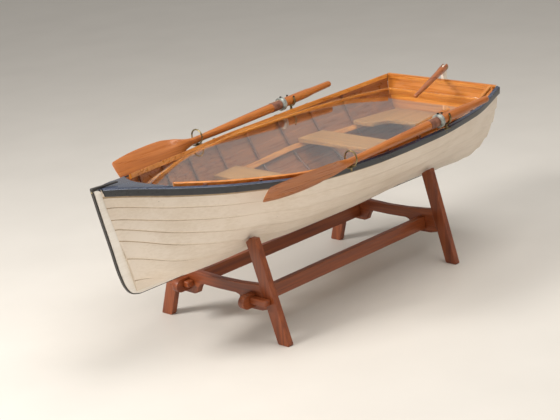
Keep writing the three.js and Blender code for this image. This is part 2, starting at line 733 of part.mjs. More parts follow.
// Flat seat and pin hole in the rail under each rowlock
function seatedRail(oar) {
  const seats = [oar.ringX, oar.hornX].flatMap((x) => {
    const foot = rowlockFoot(oar, x);
    const seat = box(x - 18, x + 18, foot.y - 20, foot.y + 20, foot.z, foot.z + 20);
    const hole = cylinder(PIN_RADIUS + 0.12, foot.clone().setZ(foot.z - PIN_DEPTH - 1),
      foot.clone().setZ(foot.z + 1));
    return [seat, hole];
  });
  return cut(rail(oar.side), ...seats);
}

// ---------------------------------------------------------------- rudder and tiller
function rudder() {
  const [axisX] = RUDDER_AXIS;
  const shape = new THREE.Shape();
  const head = axisX - 30;
  const lead = axisX + 4;
  shape.moveTo(230, lead);
  shape.lineTo(RUDDER_HEAD, lead);
  shape.absarc(RUDDER_HEAD, (lead + head) / 2, (lead - head) / 2, Math.PI / 2, -Math.PI / 2, true);
  shape.lineTo(500, head);
  shape.bezierCurveTo(450, head, 430, axisX - 73, 360, axisX - 73);
  shape.lineTo(262, axisX - 73);
  shape.quadraticCurveTo(230, axisX - 73, 230, axisX - 45);
  const blade = plateY(shape, -RUDDER_THICK / 2, RUDDER_THICK / 2);
  const { back, height } = TILLER_BOLT;
  const bolt = cylinder(2.7, point(axisX - back, -20, height), point(axisX - back, 20, height));
  return cut(blade, bolt);
}

// Built pointing forward along +X with its bolt at the origin
function tiller() {
  const slot = RUDDER_THICK / 2 + 0.4;
  const cheek = slot + 6;
  const ring = (x, y, z) => Array.from({ length: 12 }, (_, k) => {
    const turn = (2 * Math.PI * (k + 0.5)) / 12;
    const round = (c) => Math.sign(c) * Math.abs(c) ** 0.7;
    return point(x, y * round(Math.cos(turn)), z * round(Math.sin(turn)));
  });
  const bar = loft([ring(-16, cheek - 0.5, 10), ring(-12, cheek, 12), ring(30, cheek, 12),
    ring(62, 9.5, 10), ring(150, 8.5, 8.5), ring(280, 6.8, 6.8), ring(TILLER_LENGTH - 4, 6.2, 6.2),
    ring(TILLER_LENGTH, 3.5, 3.5)]);
  const gap = box(-40, 26, -slot, slot, -30, 30);
  const bolt = cylinder(2.5, point(0, -cheek - 2, 0), point(0, cheek + 2, 0));
  return join(cut(bar, gap), bolt);
}

function swingRudder(geometry) {
  const [x, y] = RUDDER_AXIS;
  geometry.translate(-x, -y, 0);
  geometry.rotateZ(TILLER_SWING);
  geometry.translate(x, y, 0);
  return geometry;
}

function placedTiller() {
  const geometry = tiller();
  geometry.rotateY(TILLER_DROP);
  geometry.translate(RUDDER_AXIS[0] - TILLER_BOLT.back, 0, TILLER_BOLT.height);
  return swingRudder(geometry);
}

// ---------------------------------------------------------------- stand
const legCentre = (frame, z) => frame.foot - frame.splay * z;
const legHalf = (frame) => (LEG_WIDTH / 2) * Math.hypot(1, frame.splay);

function leg(frame, side) {
  const { x } = frame;
  const half = legHalf(frame);
  const forward = Math.sign(x) * (TIMBER / 2);
  const bearing = (z) => {
    const narrow = halfBreadth(x + forward, z, LAND_STEP + 1.2);
    const wide = halfBreadth(x - forward, z, LAND_STEP + 1.2);
    return Math.max(narrow, wide);
  };
  const meets = (edge) => {
    let [low, high] = [250, 420];
    for (let i = 0; i < 20; i += 1) {
      const z = (low + high) / 2;
      if (bearing(z) < legCentre(frame, z) + edge) low = z;
      else high = z;
    }
    return low;
  };
  const [inner, middle, outer] = [-half, 0, half].map((edge) => {
    const z = Math.min(meets(edge) - 0.8, LEG_SHOULDER);
    return [legCentre(frame, z) + edge, z];
  });
  const foot = 6;
  const shape = new THREE.Shape();
  shape.moveTo(legCentre(frame, 0) - half + foot, 0);
  shape.lineTo(legCentre(frame, 0) + half - foot, 0);
  shape.quadraticCurveTo(legCentre(frame, 0) + half, 0, legCentre(frame, foot) + half, foot);
  shape.lineTo(...outer);
  shape.lineTo(...middle);
  shape.lineTo(...inner);
  shape.lineTo(legCentre(frame, foot) - half, foot);
  shape.quadraticCurveTo(legCentre(frame, 0) - half, 0, legCentre(frame, 0) - half + foot, 0);
  const port = plateX(shape, x - TIMBER / 2, x + TIMBER / 2);
  return side > 0 ? port : mirrored(port);
}

function mirrored(geometry) {
  geometry.scale(1, -1, 1);
  const index = geometry.index.array;
  for (let i = 0; i < index.length; i += 3) {
    [index[i], index[i + 1]] = [index[i + 1], index[i]];
  }
  return geometry;
}

function crossbar(frame) {
  const { x } = frame;
  const shoulder = (z) => legCentre(frame, z) - legHalf(frame) - GAP;
  const half = [
    [0, 134], [70, 135.5], [84, 131], [93, 118], [101, 100], [112, 96], [176, 97],
    [shoulder(104), 104], [shoulder(179), 179], [150, 176], [80, 170.5],
  ];
  const mirror = half.slice(1).map(([y, z]) => [-y, z]).reverse();
  const shape = outline([...half, [0, 168], ...mirror]);
  const bar = plateX(shape, x - TIMBER / 2, x + TIMBER / 2);
  const mortises = [-1, 1].map((side) => box(x - TIMBER, x + TIMBER,
    side * STRETCHER_Y - TIMBER / 2 - GAP, side * STRETCHER_Y + TIMBER / 2 + GAP,
    STRETCHER_BOTTOM - GAP, STRETCHER_TOP + GAP));
  return cut(bar, ...mortises);
}

const KEY_AFT = BOW_FRAME.x + TIMBER / 2 + 1; // flat on the crossbar's face

function stretcher(side) {
  const fore = BOW_FRAME.x + TIMBER / 2 + TONGUE;
  const aft = STERN_FRAME.x - TIMBER / 2 - TONGUE;
  const middle = (STRETCHER_BOTTOM + STRETCHER_TOP) / 2;
  const radius = (STRETCHER_TOP - STRETCHER_BOTTOM) / 2;
  const shape = new THREE.Shape();
  shape.absarc(middle, fore - radius, radius, Math.PI, 0, true);
  shape.absarc(middle, aft + radius, radius, 0, -Math.PI, true);
  const bar = plateY(shape, -TIMBER / 2, TIMBER / 2, 8);
  const slot = box(KEY_AFT - GAP, KEY_AFT + KEY.width + GAP, -TIMBER, TIMBER,
    KEY.low - GAP, KEY.high + GAP);
  const slotted = cut(bar, slot);
  slotted.translate(0, side * STRETCHER_Y, 0);
  return slotted;
}

// Flat key through the stretcher's tongue
function key(side) {
  const ring = (y, inset) => {
    const [x0, x1] = [KEY_AFT + inset, KEY_AFT + KEY.width - inset];
    const [z0, z1] = [KEY.low + inset, KEY.high - inset];
    const c = KEY.chamfer;
    return [[x0 + c, z0], [x1 - c, z0], [x1, z0 + c], [x1, z1 - c], [x1 - c, z1], [x0 + c, z1],
      [x0, z1 - c], [x0, z0 + c]].map(([x, z]) => point(x, side * (STRETCHER_Y + y), z));
  };
  return loft([ring(-KEY.inboard, 2), ring(-KEY.inboard + 3, 0), ring(KEY.outboard - 3, 0),
    ring(KEY.outboard, 2)]);
}

// ---------------------------------------------------------------- assembly
const boat = new THREE.Group();

function add(name, geometry, colour) {
  const [hex, roughness, metalness] = COLOURS[colour];
  const material = new THREE.MeshStandardMaterial({ color: hex, roughness, metalness });
  const mesh = new THREE.Mesh(geometry, material);
  mesh.name = name;
  boat.add(mesh);
}

const HANDS = [['port', 1], ['starboard', -1]];

add('keel_and_stem', backbone(), 'cream');
add('stem_band', stemBand(), 'black');
add('breasthook', breasthook(), 'navy');
add('transom', transom(), 'varnish');
for (const [hand, side] of HANDS) {
  for (let row = 0; row < SEAMS_MIDSHIPS.length - 1; row += 1) {
    add(`plank_${row + 1}_${hand}`, plank(row, side), 'cream');
  }
  add(`inwale_${hand}`, inwale(side), 'varnish');
  add(`riser_${hand}`, riser(side), 'varnish');
}
RIB_XS.forEach((x, i) => add(`rib_${i + 1}`, rib(x), 'varnish'));
add('stern_sheets', sternSheets(), 'seat');
add('centre_thwart', thwart(CENTRE_THWART), 'seat');
add('bow_thwart', thwart(BOW_THWART), 'seat');
add('floor_boards', floorBoards(), 'floor');
add('glass_ledge', glassLedge(), 'varnish');
add('glass_top', glassTop(), 'glass');
for (const oar of OARS) {
  add(`rail_${oar.name}`, seatedRail(oar), 'navy');
  add(`ring_rowlock_${oar.name}`, ringRowlock(oar), 'brass');
  add(`horn_rowlock_${oar.name}`, hornRowlock(oar), 'brass');
  add(`oar_${oar.name}`, oarShaft(oar), 'varnish');
  add(`oar_sleeve_${oar.name}`, oarBand(oar, SLEEVE), 'leather');
  add(`oar_collar_${oar.name}`, oarBand(oar, COLLAR), 'grey');
}
add('rudder', swingRudder(rudder()), 'cream');
add('tiller', placedTiller(), 'varnish');
for (const [end, frame] of [['bow', BOW_FRAME], ['stern', STERN_FRAME]]) {
  for (const [hand, side] of HANDS) add(`leg_${end}_${hand}`, leg(frame, side), 'mahogany');
  add(`crossbar_${end}`, crossbar(frame), 'mahogany');
}
for (const [hand, side] of HANDS) {
  add(`stretcher_${hand}`, stretcher(side), 'mahogany');
  add(`peg_${hand}`, key(side), 'mahogany');
}

// Origin: centre of the bounding box on the ground
const bounds = new THREE.Box3().setFromObject(boat);
const centre = bounds.getCenter(new THREE.Vector3());
boat.position.set(-centre.x, -centre.y, -bounds.min.z);

export default boat;
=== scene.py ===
"""Looks of the rowing-boat table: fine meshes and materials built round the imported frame.

Sizes below are millimetres on the axes that the CAD was drawn on: +X to the bow, +Y to port, +Z up
from the floor. metres() turns them into the frame's own metres.
"""
import math
import bmesh
import bpy
import numpy as np
from mathutils import Matrix, Vector


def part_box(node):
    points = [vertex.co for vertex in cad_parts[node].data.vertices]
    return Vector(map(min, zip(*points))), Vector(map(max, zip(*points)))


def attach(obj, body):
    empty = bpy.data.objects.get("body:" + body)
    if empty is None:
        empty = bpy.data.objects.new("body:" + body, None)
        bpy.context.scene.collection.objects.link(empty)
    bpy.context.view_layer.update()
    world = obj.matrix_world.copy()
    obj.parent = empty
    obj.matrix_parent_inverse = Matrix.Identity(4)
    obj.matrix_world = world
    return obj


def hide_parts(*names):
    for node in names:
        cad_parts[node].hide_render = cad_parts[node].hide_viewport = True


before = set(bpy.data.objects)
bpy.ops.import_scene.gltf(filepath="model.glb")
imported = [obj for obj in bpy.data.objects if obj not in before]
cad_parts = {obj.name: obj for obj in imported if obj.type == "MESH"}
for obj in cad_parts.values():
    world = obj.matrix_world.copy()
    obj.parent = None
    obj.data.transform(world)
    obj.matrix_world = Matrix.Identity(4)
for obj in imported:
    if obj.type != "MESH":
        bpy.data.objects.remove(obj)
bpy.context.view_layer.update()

# ------ drawing to frame
GLASS_AFT = -640.0
glass_low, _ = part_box("glass_top")
keel_low, keel_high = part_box("keel_and_stem")
SHIFT = np.array([glass_low.x - GLASS_AFT / 1000, (keel_low.y + keel_high.y) / 2, 0.0])
HANDS = (("port", 1), ("starboard", -1))


def metres(points):
    return np.asarray(points, float) / 1000 + SHIFT


# ------ driving dimensions
STERN_X, SHEER_LENGTH, KEEL_LENGTH = -660, 1598, 1494
KEEL_TOP, BACKBONE_HALF, PLANK_FOOT = 237, 6.5, 8.5
RAIL_BREADTH = [(-660, 246.2), (-450, 301.5), (-200, 324.7), (50, 321.6), (300, 289.5),
                (550, 205.8), (750, 110.8), (860, 53.7), (938, 12)]
RAIL_HEIGHT = [(-660, 531.3), (-450, 505.3), (-200, 492), (50, 486.9), (300, 488),
               (550, 509.4), (750, 538.6), (860, 558.9), (938, 569.5)]
RAIL_TILT = 0.41
BOTTOM_RISE = [(0, 0.15), (0.2, 0.35), (0.45, 0.18), (0.7, 0.18), (0.88, -0.1), (1, 1.37)]
TOPSIDE_LEAN = [(0, 0.06), (0.2, 0.35), (0.45, 0.36), (0.7, 0.39), (0.88, 0.08), (1, 0.37)]
BOTTOM_REACH = [(0, 0.36), (0.2, 0.35), (0.45, 0.36), (0.7, 0.42), (0.88, 0.31), (1, 0.47)]
TOPSIDE_REACH = [(0, 0.42), (0.2, 0.35), (0.45, 0.35), (0.7, 0.44), (0.88, 0.39), (1, 0.36)]
STEM_CURVE = 0.83
SEAMS_MIDSHIPS = np.array([0, 0.19, 0.32, 0.48, 0.61, 0.74, 0.87, 1])
SEAMS_AT_STEM = np.array([0, 0.177, 0.293, 0.386, 0.497, 0.67, 0.886, 1])
PLANK, LAP, LAND = 4.0, 7.0, 2.3
PLANK_START, RAIL_START, RAIL_END = 0.005, -0.0025, 0.992
# SEAM_SHADE and RAIL_SHADE are the widths of the bands of painted shade below each lap and below the
# rail.
PLANK_EASE, SEAM_SHADE, RAIL_SHADE = 0.9, 3.2, 7
PLANK_GAP_OUT, PLANK_GAP_IN = 1, 0.3
RAIL_WIDTH, RAIL_DEPTH, RAIL_BED = 10.8, 22, 0.5
RAIL_GAP_OUT, RAIL_GAP_IN = 6, 2.9
RIB_XS = [-448, -291, -134, 23, 180, 337, 494, 651]
RIB_WIDTH, RIB_OUTER, RIB_INNER = 9, 7.6, 13.4
INWALE_OUTER, INWALE_INNER, INWALE_END = 23.6, 31, 0.875
RISER_DEPTH, RISER_WIDTH = 12, 9
STEM_FRONT = [(954, 574), (933, 484), (909, 388), (885, 292), (872, 259), (853, 235),
              (826, 225.5), (790, 224)]
STEM_BACK = [(932, 567), (915, 555), (888, 505), (869, 440), (858, 400), (842, 345),
             (820, 275), (800, 243)]
HOOD_HEIGHTS = [245, 278, 348, 443, 546, 572]
HOOD_XS = [838, 848, 869, 894.5, 921, 927]
KEEL_BOTTOM, KEEL_AFT, BAND_AT_STEM, BAND_AT_KEEL, BAND_HALF = 224, -663, 4.5, 3, 5.2
HOOK_AFT, HOOK_HOLLOW, HOOK_FORE, HOOK_THICK = 786, 46, 926, 7
TRANSOM_FACE, TRANSOM_THICK, TRANSOM_TOP = -664, 11, 538
GLASS_TOP, GLASS_THICK, GLASS_FORE = 492, 6, 730
LEDGE_WIDTH, LEDGE_DEPTH = 9, 8
SEAT_TOP, SEAT_THICK = 411, 14
SEATS = {"centre_thwart": (-290, -170, SEAT_TOP), "bow_thwart": (150, 270, 400.5)}
FLOOR_LOW, FLOOR_HIGH, BOARD_GAP = 270, 277, 3
BOARD_EDGES = [-92, -55, -19, 17, 54, 91]
OAR_LENGTH = 1048
BLADE_START = 702
LOOM = [(0, 5), (3, 9), (9, 11), (95, 12.5), (130, 15), (236, 16), (440, 14.5), (590, 12),
        (663, 11), (BLADE_START, 11.5)]
BLADE_WIDTH = [(BLADE_START, 11.5), (735, 18), (773, 32), (823, 43.5), (880, 45.5), (940, 44.5),
               (990, 40.5), (1025, 36), (1040, 33.6), (1045, 31), (1047.4, 27), (1048, 22)]
BLADE_THICK = [(663, 11), (BLADE_START, 10.5), (735, 7.5), (773, 5.5), (823, 4.4), (880, 4),
               (990, 3.2), (1036, 2.4), (1048, 1.2)]
BLADE_LIFT, BLADE_CANT = 16, math.radians(37)
OARS = {
    "port": {"side": 1, "stern": (-250, 316, 528), "bow": (220, 309.5, 502.9), "end": -486,
             "ring": 204, "horn": -262},
    "starboard": {"side": -1, "stern": (-250, -321.4, 528.2), "bow": (220, -313, 504.1),
                  "end": -442, "ring": 235, "horn": -230},
}
# Start and end along the oar, and radius.
SLEEVE = (271, 315, 16.8)
COLLAR = (254, 270.5, 22.8)
SEAT_HALF, PLATE_HALF = 18, 17
RING_RADIUS, RING_WIRE, LOOM_IN_RING, RING_PLAY = 23.5, 2.5, 11, 0.8
HORN_RADIUS, HORN_RISE = 19.2, math.radians(36)
BALL_CIRCLE, BALL_RADIUS, BALL_RISE = 20.4, 3.5, math.radians(41)
RUDDER_X, RUDDER_HEAD, RUDDER_FOOT, RUDDER_HALF = -672, 563, 230, 5
RUDDER_HINGES, RUDDER_SWING = (282, 470), math.radians(18)
BOLT_BACK, BOLT_HEIGHT, TILLER_DROP = 14, 571, math.radians(5.4)
CAMERA_EYE, CAMERA_LENS, CAMERA_SENSOR = (3638.1, 3283.0, 1790.0), 101.48, 36
CAMERA_YAW, CAMERA_PITCH, CAMERA_ROLL = (math.radians(v) for v in (-136.30, 17.38, 4.62))


# ------ curves
def eased(x, start, run):
    """0 before start, 1 past start + run and smooth between."""
    share = np.clip((x - start) / run, 0, 1)
    return share * share * (3 - 2 * share)


def stretch(knots, x):
    """Number and width of the stretch between knots that x falls in, and how far along it x is."""
    i = np.clip(np.searchsorted(knots, x, side="right") - 1, 0, len(knots) - 2)
    width = knots[i + 1] - knots[i]
    return i, width, (x - knots[i]) / width


def cubic(values, slopes, i, width, s):
    """Value with these slopes at the knots, s of the way along stretch i."""
    ease = s * s * (3 - 2 * s)
    start = values[i] * (1 - ease) + slopes[i] * width * s * (1 - s) ** 2
    return start + values[i + 1] * ease - slopes[i + 1] * width * s * s * (1 - s)


def through(knots):
    """Smooth value through (position, value) knots, with no overshoot at the knots."""
    xs, ys = np.array(knots, float).T
    chord = np.diff(ys) / np.diff(xs)
    slope = np.zeros_like(ys)
    slope[0], slope[-1] = chord[0], chord[-1]
    before, after = chord[:-1], chord[1:]
    same = before * after > 0
    slope[1:-1][same] = 2 * before[same] * after[same] / (before + after)[same]

    def value(x):
        return cubic(ys, slope, *stretch(xs, np.asarray(x, float)))
    return value


def spline(points, count):
    """Evenly stepped smooth curve through points of any dimension."""
    points = np.array(points, float)
    walked = np.concatenate([[0], np.cumsum(np.linalg.norm(np.diff(points, axis=0), axis=1))])
    tangent = np.gradient(points, walked, axis=0)
    i, width, s = stretch(walked, np.linspace(0, walked[-1], count))
    return cubic(points, tangent, i, width[:, None], s[:, None])


rail_breadth, rail_height = through(RAIL_BREADTH), through(RAIL_HEIGHT)
bottom_rise, topside_lean = through(BOTTOM_RISE), through(TOPSIDE_LEAN)
bottom_reach, topside_reach = through(BOTTOM_REACH), through(TOPSIDE_REACH)


def sheer_x(t):
    return STERN_X + SHEER_LENGTH * np.asarray(t, float)


# ------ hull surface, as a fine grid
STATIONS = np.linspace(-0.004, 1, 252)
GIRTHS = np.linspace(0, 1, 161)


def section(t):
    """Points round one station from rail to keel, and the length that they cover."""
    x = sheer_x(t)
    rail = np.array([max(rail_breadth(x) - 9, PLANK_FOOT), rail_height(x) - 1])
    keel = np.array([PLANK_FOOT, KEEL_TOP])
    span = np.linalg.norm(rail - keel)
    rise, lean = bottom_rise(t), topside_lean(t)
    turn = rail - topside_reach(t) * span * np.array([np.sin(lean), np.cos(lean)])
    bilge = keel + bottom_reach(t) * span * np.array([np.cos(rise), np.sin(rise)])
    s = np.linspace(0, 1, 241)[:, None]
    curve = (1 - s) ** 3 * rail + 3 * (1 - s) ** 2 * s * turn
    curve = curve + 3 * (1 - s) * s ** 2 * bilge + s ** 3 * keel
    steps = np.linalg.norm(np.diff(curve, axis=0), axis=1)
    walked = np.concatenate([[0], np.cumsum(steps)])
    y, z = (np.interp(GIRTHS * walked[-1], walked, curve[:, k]) for k in (0, 1))
    length = SHEER_LENGTH + (KEEL_LENGTH - SHEER_LENGTH) * GIRTHS ** STEM_CURVE
    return np.stack([STERN_X + t * length, y, z], axis=1), walked[-1]


def unit(v):
    return v / np.linalg.norm(v, axis=-1, keepdims=True)


HULL, GIRTH = (np.array(v) for v in zip(*[section(t) for t in STATIONS]))
DOWN = unit(np.gradient(HULL, axis=1))
NORMAL = unit(np.cross(np.gradient(HULL, axis=0), DOWN))


def sampled(grid, t, g):
    u = np.clip((t - STATIONS[0]) / (STATIONS[1] - STATIONS[0]), 0, len(STATIONS) - 1.001)
    v = np.clip(g, 0, 1) * (len(GIRTHS) - 1.001)
    i, j = u.astype(int), v.astype(int)
    a, b = (u - i)[..., None], (v - j)[..., None]
    low = grid[i, j] * (1 - b) + grid[i, j + 1] * b
    high = grid[i + 1, j] * (1 - b) + grid[i + 1, j + 1] * b
    return low * (1 - a) + high * a


def girth(t):
    return np.interp(t, STATIONS, GIRTH)


def skin(t, g, offset):
    """Points off the port side of the hull surface; positive offsets are outboard."""
    t, g, offset = np.broadcast_arrays(*(np.asarray(v, float) for v in (t, g, offset)))
    above = np.minimum(g, 0)[..., None] * girth(t)[..., None] * sampled(DOWN, t, g)
    return sampled(HULL, t, g) + above + sampled(NORMAL, t, g) * offset[..., None]


def skin_at_height(t, z, offset):
    t = np.asarray(t, float)
    high, low = np.zeros_like(t), np.ones_like(t)
    for _ in range(22):
        middle = (high + low) / 2
        above = skin(t, middle, offset)[..., 2] > z
        high, low = np.where(above, middle, high), np.where(above, low, middle)
    return skin(t, (high + low) / 2, offset)


def half_breadth(x, z, offset=-(RIB_INNER + 1)):
    x = np.asarray(x, float)
    t = (x - STERN_X) / SHEER_LENGTH
    for _ in range(5):
        at = skin_at_height(t, z, offset)
        t = t + (x - at[..., 0]) / SHEER_LENGTH
    return at[..., 1]


def rim(x, w, dz):
    """Points inboard of the rail's outer edge by w, and dz above that edge's height."""
    slope = rail_breadth(x + 1) - rail_breadth(x)
    run = np.hypot(slope, 1)
    return np.stack([x + slope / run * w, rail_breadth(x) - w / run, rail_height(x) + dz], -1)


# ------ mesh helpers
def linked(name, data):
    thing = bpy.data.objects.new(name, data)
    bpy.context.scene.collection.objects.link(thing)
    return thing


def finished(name, verts, faces, smooth=35, slots=None):
    mesh = bpy.data.meshes.new(name)
    mesh.from_pydata([tuple(v) for v in metres(verts)], [], faces)
    if slots:
        mesh.polygons.foreach_set("material_index", slots)
    work = bmesh.new()
    work.from_mesh(mesh)
    bmesh.ops.remove_doubles(work, verts=work.verts, dist=1e-6)
    bmesh.ops.recalc_face_normals(work, faces=work.faces)
    work.to_mesh(mesh)
    work.free()
    piece = linked(name, mesh)
    shaded(piece, smooth)
    return piece


def shaded(piece, smooth=35):
    piece.data.shade_smooth()
    piece.data.set_sharp_from_angle(angle=math.radians(smooth))


def loft(name, rings, ring_closed=False, smooth=35, edge_slots=None):
    """Closed solid through rings (stations, points, 3); ring_closed joins the last ring to the first.
    edge_slots gives the material slot of each edge of the ring."""
    rings = np.asarray(rings, float)
    n, m, _ = rings.shape
    faces = []
    for i in range(n if ring_closed else n - 1):
        k = (i + 1) % n
        faces += [(i * m + j, i * m + (j + 1) % m, k * m + (j + 1) % m, k * m + j) for j in range(m)]
    if not ring_closed:
        faces += [tuple(range(m)), tuple((n - 1) * m + j for j in range(m))]
    slots = [*edge_slots * (n - 1), 0, 0] if edge_slots else None
    return finished(name, rings.reshape(-1, 3), faces, smooth, slots)


def rounded(rings, radius, steps=3):
    """Fillets every corner of each ring."""
    rings = np.asarray(rings, float)
    before, after = np.roll(rings, 1, axis=1) - rings, np.roll(rings, -1, axis=1) - rings
    out = []
    for s in np.linspace(0, 1, steps + 1):
        reach = []
        for edge in (before, after):
            length = np.linalg.norm(edge, axis=-1, keepdims=True)
            reach.append(edge / np.maximum(length, 1e-9) * np.minimum(radius, 0.48 * length))
        out.append(rings + reach[0] * (1 - s) ** 2 + reach[1] * s ** 2)
    return np.stack(out, axis=2).reshape(rings.shape[0], -1, 3)


def on_side(points, side):
    return np.asarray(points, float) * [1, side, 1]


def evaluated(piece):
    """Bakes the piece's modifiers into its mesh."""
    bpy.context.view_layer.update()
    graph = bpy.context.evaluated_depsgraph_get()
    mesh = bpy.data.meshes.new_from_object(piece.evaluated_get(graph))
    piece.modifiers.clear()
    piece.data = mesh
    return piece


def bevelled(piece, width, segments=3, angle=32):
    """Rounds the sharp edges and keeps the flats between them flat to the light."""
    piece.data.shade_smooth()
    bevel = piece.modifiers.new("bevel", "BEVEL")
    bevel.width = width / 1000
    bevel.segments = segments
    bevel.limit_method = "ANGLE"
    bevel.angle_limit = math.radians(angle)
    bevel.harden_normals = True
    return evaluated(piece)


def cut(piece, *tools):
    for tool in tools:
        boolean = piece.modifiers.new("cut", "BOOLEAN")
        boolean.operation = "DIFFERENCE"
        boolean.solver = "EXACT"
        boolean.object = tool
    evaluated(piece)
    for tool in tools:
        bpy.data.objects.remove(tool)
    return piece


def joined(name, pieces):
    """One object from several closed meshes."""
    work = bmesh.new()
    for piece in pieces:
        work.from_mesh(piece.data)
    mesh = bpy.data.meshes.new(name)
    work.to_mesh(mesh)
    work.free()
    for piece in pieces:
        bpy.data.objects.remove(piece)
    result = linked(name, mesh)
    shaded(result)
    return result


def plate(name, outline, axis, low, high, bevel=0.0, segments=3):
    """Prism from an outline: axis x takes (y, z) pairs, y takes (x, z), z takes (x, y)."""
    outline = np.array(outline, float)
    index = "xyz".index(axis)
    flat = [k for k in range(3) if k != index]
    rings = np.zeros((2, len(outline), 3))
    for ring, level in zip(rings, (low, high)):
        ring[:, index] = level
        ring[:, flat[0]], ring[:, flat[1]] = outline.T
    piece = loft(name, rings)
    return bevelled(piece, bevel, segments) if bevel else piece


def both_sides(xs, half):
    """Outline that is the same on either side of the middle line."""
    return [*zip(xs, half), *zip(xs[::-1], -half[::-1])]


def block(name, x0, x1, y0, y1, z0, z1, bevel=0.0):
    return plate(name, [(x0, y0), (x1, y0), (x1, y1), (x0, y1)], "z", z0, z1, bevel)


def turned(name, profile, start, along, segments=32):
    """Solid of revolution: profile (distance, radius) pairs from start along a direction."""
    start, along = np.array(start, float), unit(np.array(along, float))
    side = unit(np.cross(along, [0, 0, 1] if abs(along[2]) < 0.9 else [1, 0, 0]))
    other = np.cross(along, side)
    turn = np.linspace(0, 2 * np.pi, segments, endpoint=False)[:, None]
    circle = np.cos(turn) * side + np.sin(turn) * other
    rings = [start + along * distance + circle * radius for distance, radius in profile]
    return loft(name, rings)


# ------ shader helpers
class Shader:
    """One material: a Principled shader and the nodes that feed it."""

    def __init__(self, name, **constants):
        self.material = bpy.data.materials.new(name)
        self.material.use_nodes = True
        self.tree = self.material.node_tree
        self.shader = self.tree.nodes["Principled BSDF"]
        self.output = self.tree.nodes["Material Output"]
        for key, value in constants.items():
            self.shader.inputs[key.replace("_", " ")].default_value = value
        self.place = self.add("TexCoord", {}).outputs["Object"]

    def add(self, kind, inputs, **settings):
        node = self.tree.nodes.new("ShaderNode" + kind)
        for key, value in settings.items():
            setattr(node, key, value)
        for key, value in inputs.items():
            if isinstance(value, bpy.types.NodeSocket):
                self.tree.links.new(value, node.inputs[key])
            else:
                node.inputs[key].default_value = value
        return node

    def stretched(self, x, y, z):
        return self.add("Mapping", {"Vector": self.place, "Scale": (x, y, z)}).outputs["Vector"]

    def noise(self, scale=1.0, detail=4.0, roughness=0.6, vector=None, distortion=0.0):
        inputs = {"Vector": vector or self.place, "Scale": scale, "Detail": detail,
                  "Roughness": roughness, "Distortion": distortion}
        return self.add("TexNoise", inputs).outputs["Fac"]

    def ramp(self, value, *stops):
        node = self.add("ValToRGB", {"Fac": value})
        marks = node.color_ramp.elements
        while len(marks) < len(stops):
            marks.new(0.5)
        for mark, (position, colour) in zip(marks, stops):
            mark.position = position
            mark.color = colour
        return node.outputs["Color"]

    def spread(self, value, low, high, out_low=0.0, out_high=1.0):
        inputs = {"Value": value, "From Min": low, "From Max": high,
                  "To Min": out_low, "To Max": out_high}
        return self.add("MapRange", inputs).outputs["Result"]

    def mixed(self, factor, first, second):
        return self.add("Mix", {0: factor, 6: first, 7: second}, data_type="RGBA").outputs[2]

    def sum(self, first, second, operation="ADD"):
        return self.add("Math", {0: first, 1: second}, operation=operation).outputs[0]

    def mean(self, first, second):
        return self.sum(self.sum(first, second), 0.5, "MULTIPLY")

    def colour(self, value):
        self.tree.links.new(value, self.shader.inputs["Base Color"])

    def roughness(self, value):
        self.tree.links.new(value, self.shader.inputs["Roughness"])

    def bump(self, height, strength, distance):
        node = self.add("Bump", {"Height": height, "Strength": strength, "Distance": distance})
        self.tree.links.new(node.outputs["Normal"], self.shader.inputs["Normal"])


def rgb(red, green, blue):
    """Linear colour from the usual 0 to 255 values."""
    def linear(v):
        v /= 255
        return v / 12.92 if v < 0.04045 else ((v + 0.055) / 1.055) ** 2.4
    return (linear(red), linear(green), linear(blue), 1.0)


GRAIN = {"x": (4, 110, 110), "y": (110, 4, 110), "z": (110, 110, 4)}
FIGURE_SCALE, PORE_SCALE = 0.35, 4.5


def wood(name, axis, pale, middle, dark, gloss=0.28, coat=0.35, pores=0.22):
    """Varnished wood with its grain along one axis."""
    s = Shader(name, Coat_Weight=coat, Coat_Roughness=0.12)
    grain = GRAIN[axis]
    fine = s.noise(1.0, 7, 0.62, s.stretched(*grain), 0.25)
    figure = s.noise(1.0, 3, 0.55, s.stretched(*(v * FIGURE_SCALE for v in grain)), 1.2)
    streak = s.noise(1.0, 2, 0.5, s.stretched(*(v * PORE_SCALE for v in grain)))
    base = s.ramp(s.mean(fine, figure), (0.34, dark), (0.49, middle), (0.64, pale))
    pore = s.spread(streak, 0.34, 0.44, 1.0, 0.0)
    s.colour(s.mixed(s.sum(pore, pores, "MULTIPLY"), base, dark))
    s.roughness(s.spread(fine, 0.3, 0.7, gloss - 0.06, gloss + 0.1))
    s.bump(s.sum(fine, pore, "SUBTRACT"), 0.22, 0.0004)
    return s.material


def paint(name, tint, shade, chip, gloss=0.42, coat=0.08):
    """Brushed paint on wood: faint streaks along the boat, a cloudy tone and a few small chips."""
    s = Shader(name, Coat_Weight=coat, Coat_Roughness=0.2)
    streaks = s.noise(1.0, 5, 0.6, s.stretched(7, 160, 160))
    cloud = s.noise(9.0, 3, 0.55)
    soft = s.mean(streaks, cloud)
    base = s.ramp(soft, (0.38, shade), (0.56, tint))
    spots = s.noise(170.0, 2, 0.5)
    where = s.noise(14.0, 2, 0.5)
    bare = s.sum(s.spread(spots, 0.73, 0.76), s.spread(where, 0.52, 0.6), "MULTIPLY")
    s.colour(s.mixed(bare, base, chip))
    s.roughness(s.spread(soft, 0.35, 0.65, gloss - 0.05, gloss + 0.1))
    relief = s.sum(s.sum(streaks, 0.6, "MULTIPLY"), s.sum(bare, 0.8, "MULTIPLY"), "SUBTRACT")
    s.bump(relief, 0.12, 0.0005)
    return s.material


def metal(name, bright, dull, low=0.25, high=0.5):
    s = Shader(name, Metallic=1.0)
    patina = s.noise(60.0, 5, 0.65)
    s.colour(s.ramp(patina, (0.36, dull), (0.62, bright)))
    s.roughness(s.spread(patina, 0.3, 0.7, high, low))
    s.bump(s.noise(420.0, 3, 0.6), 0.12, 0.0003)
    return s.material


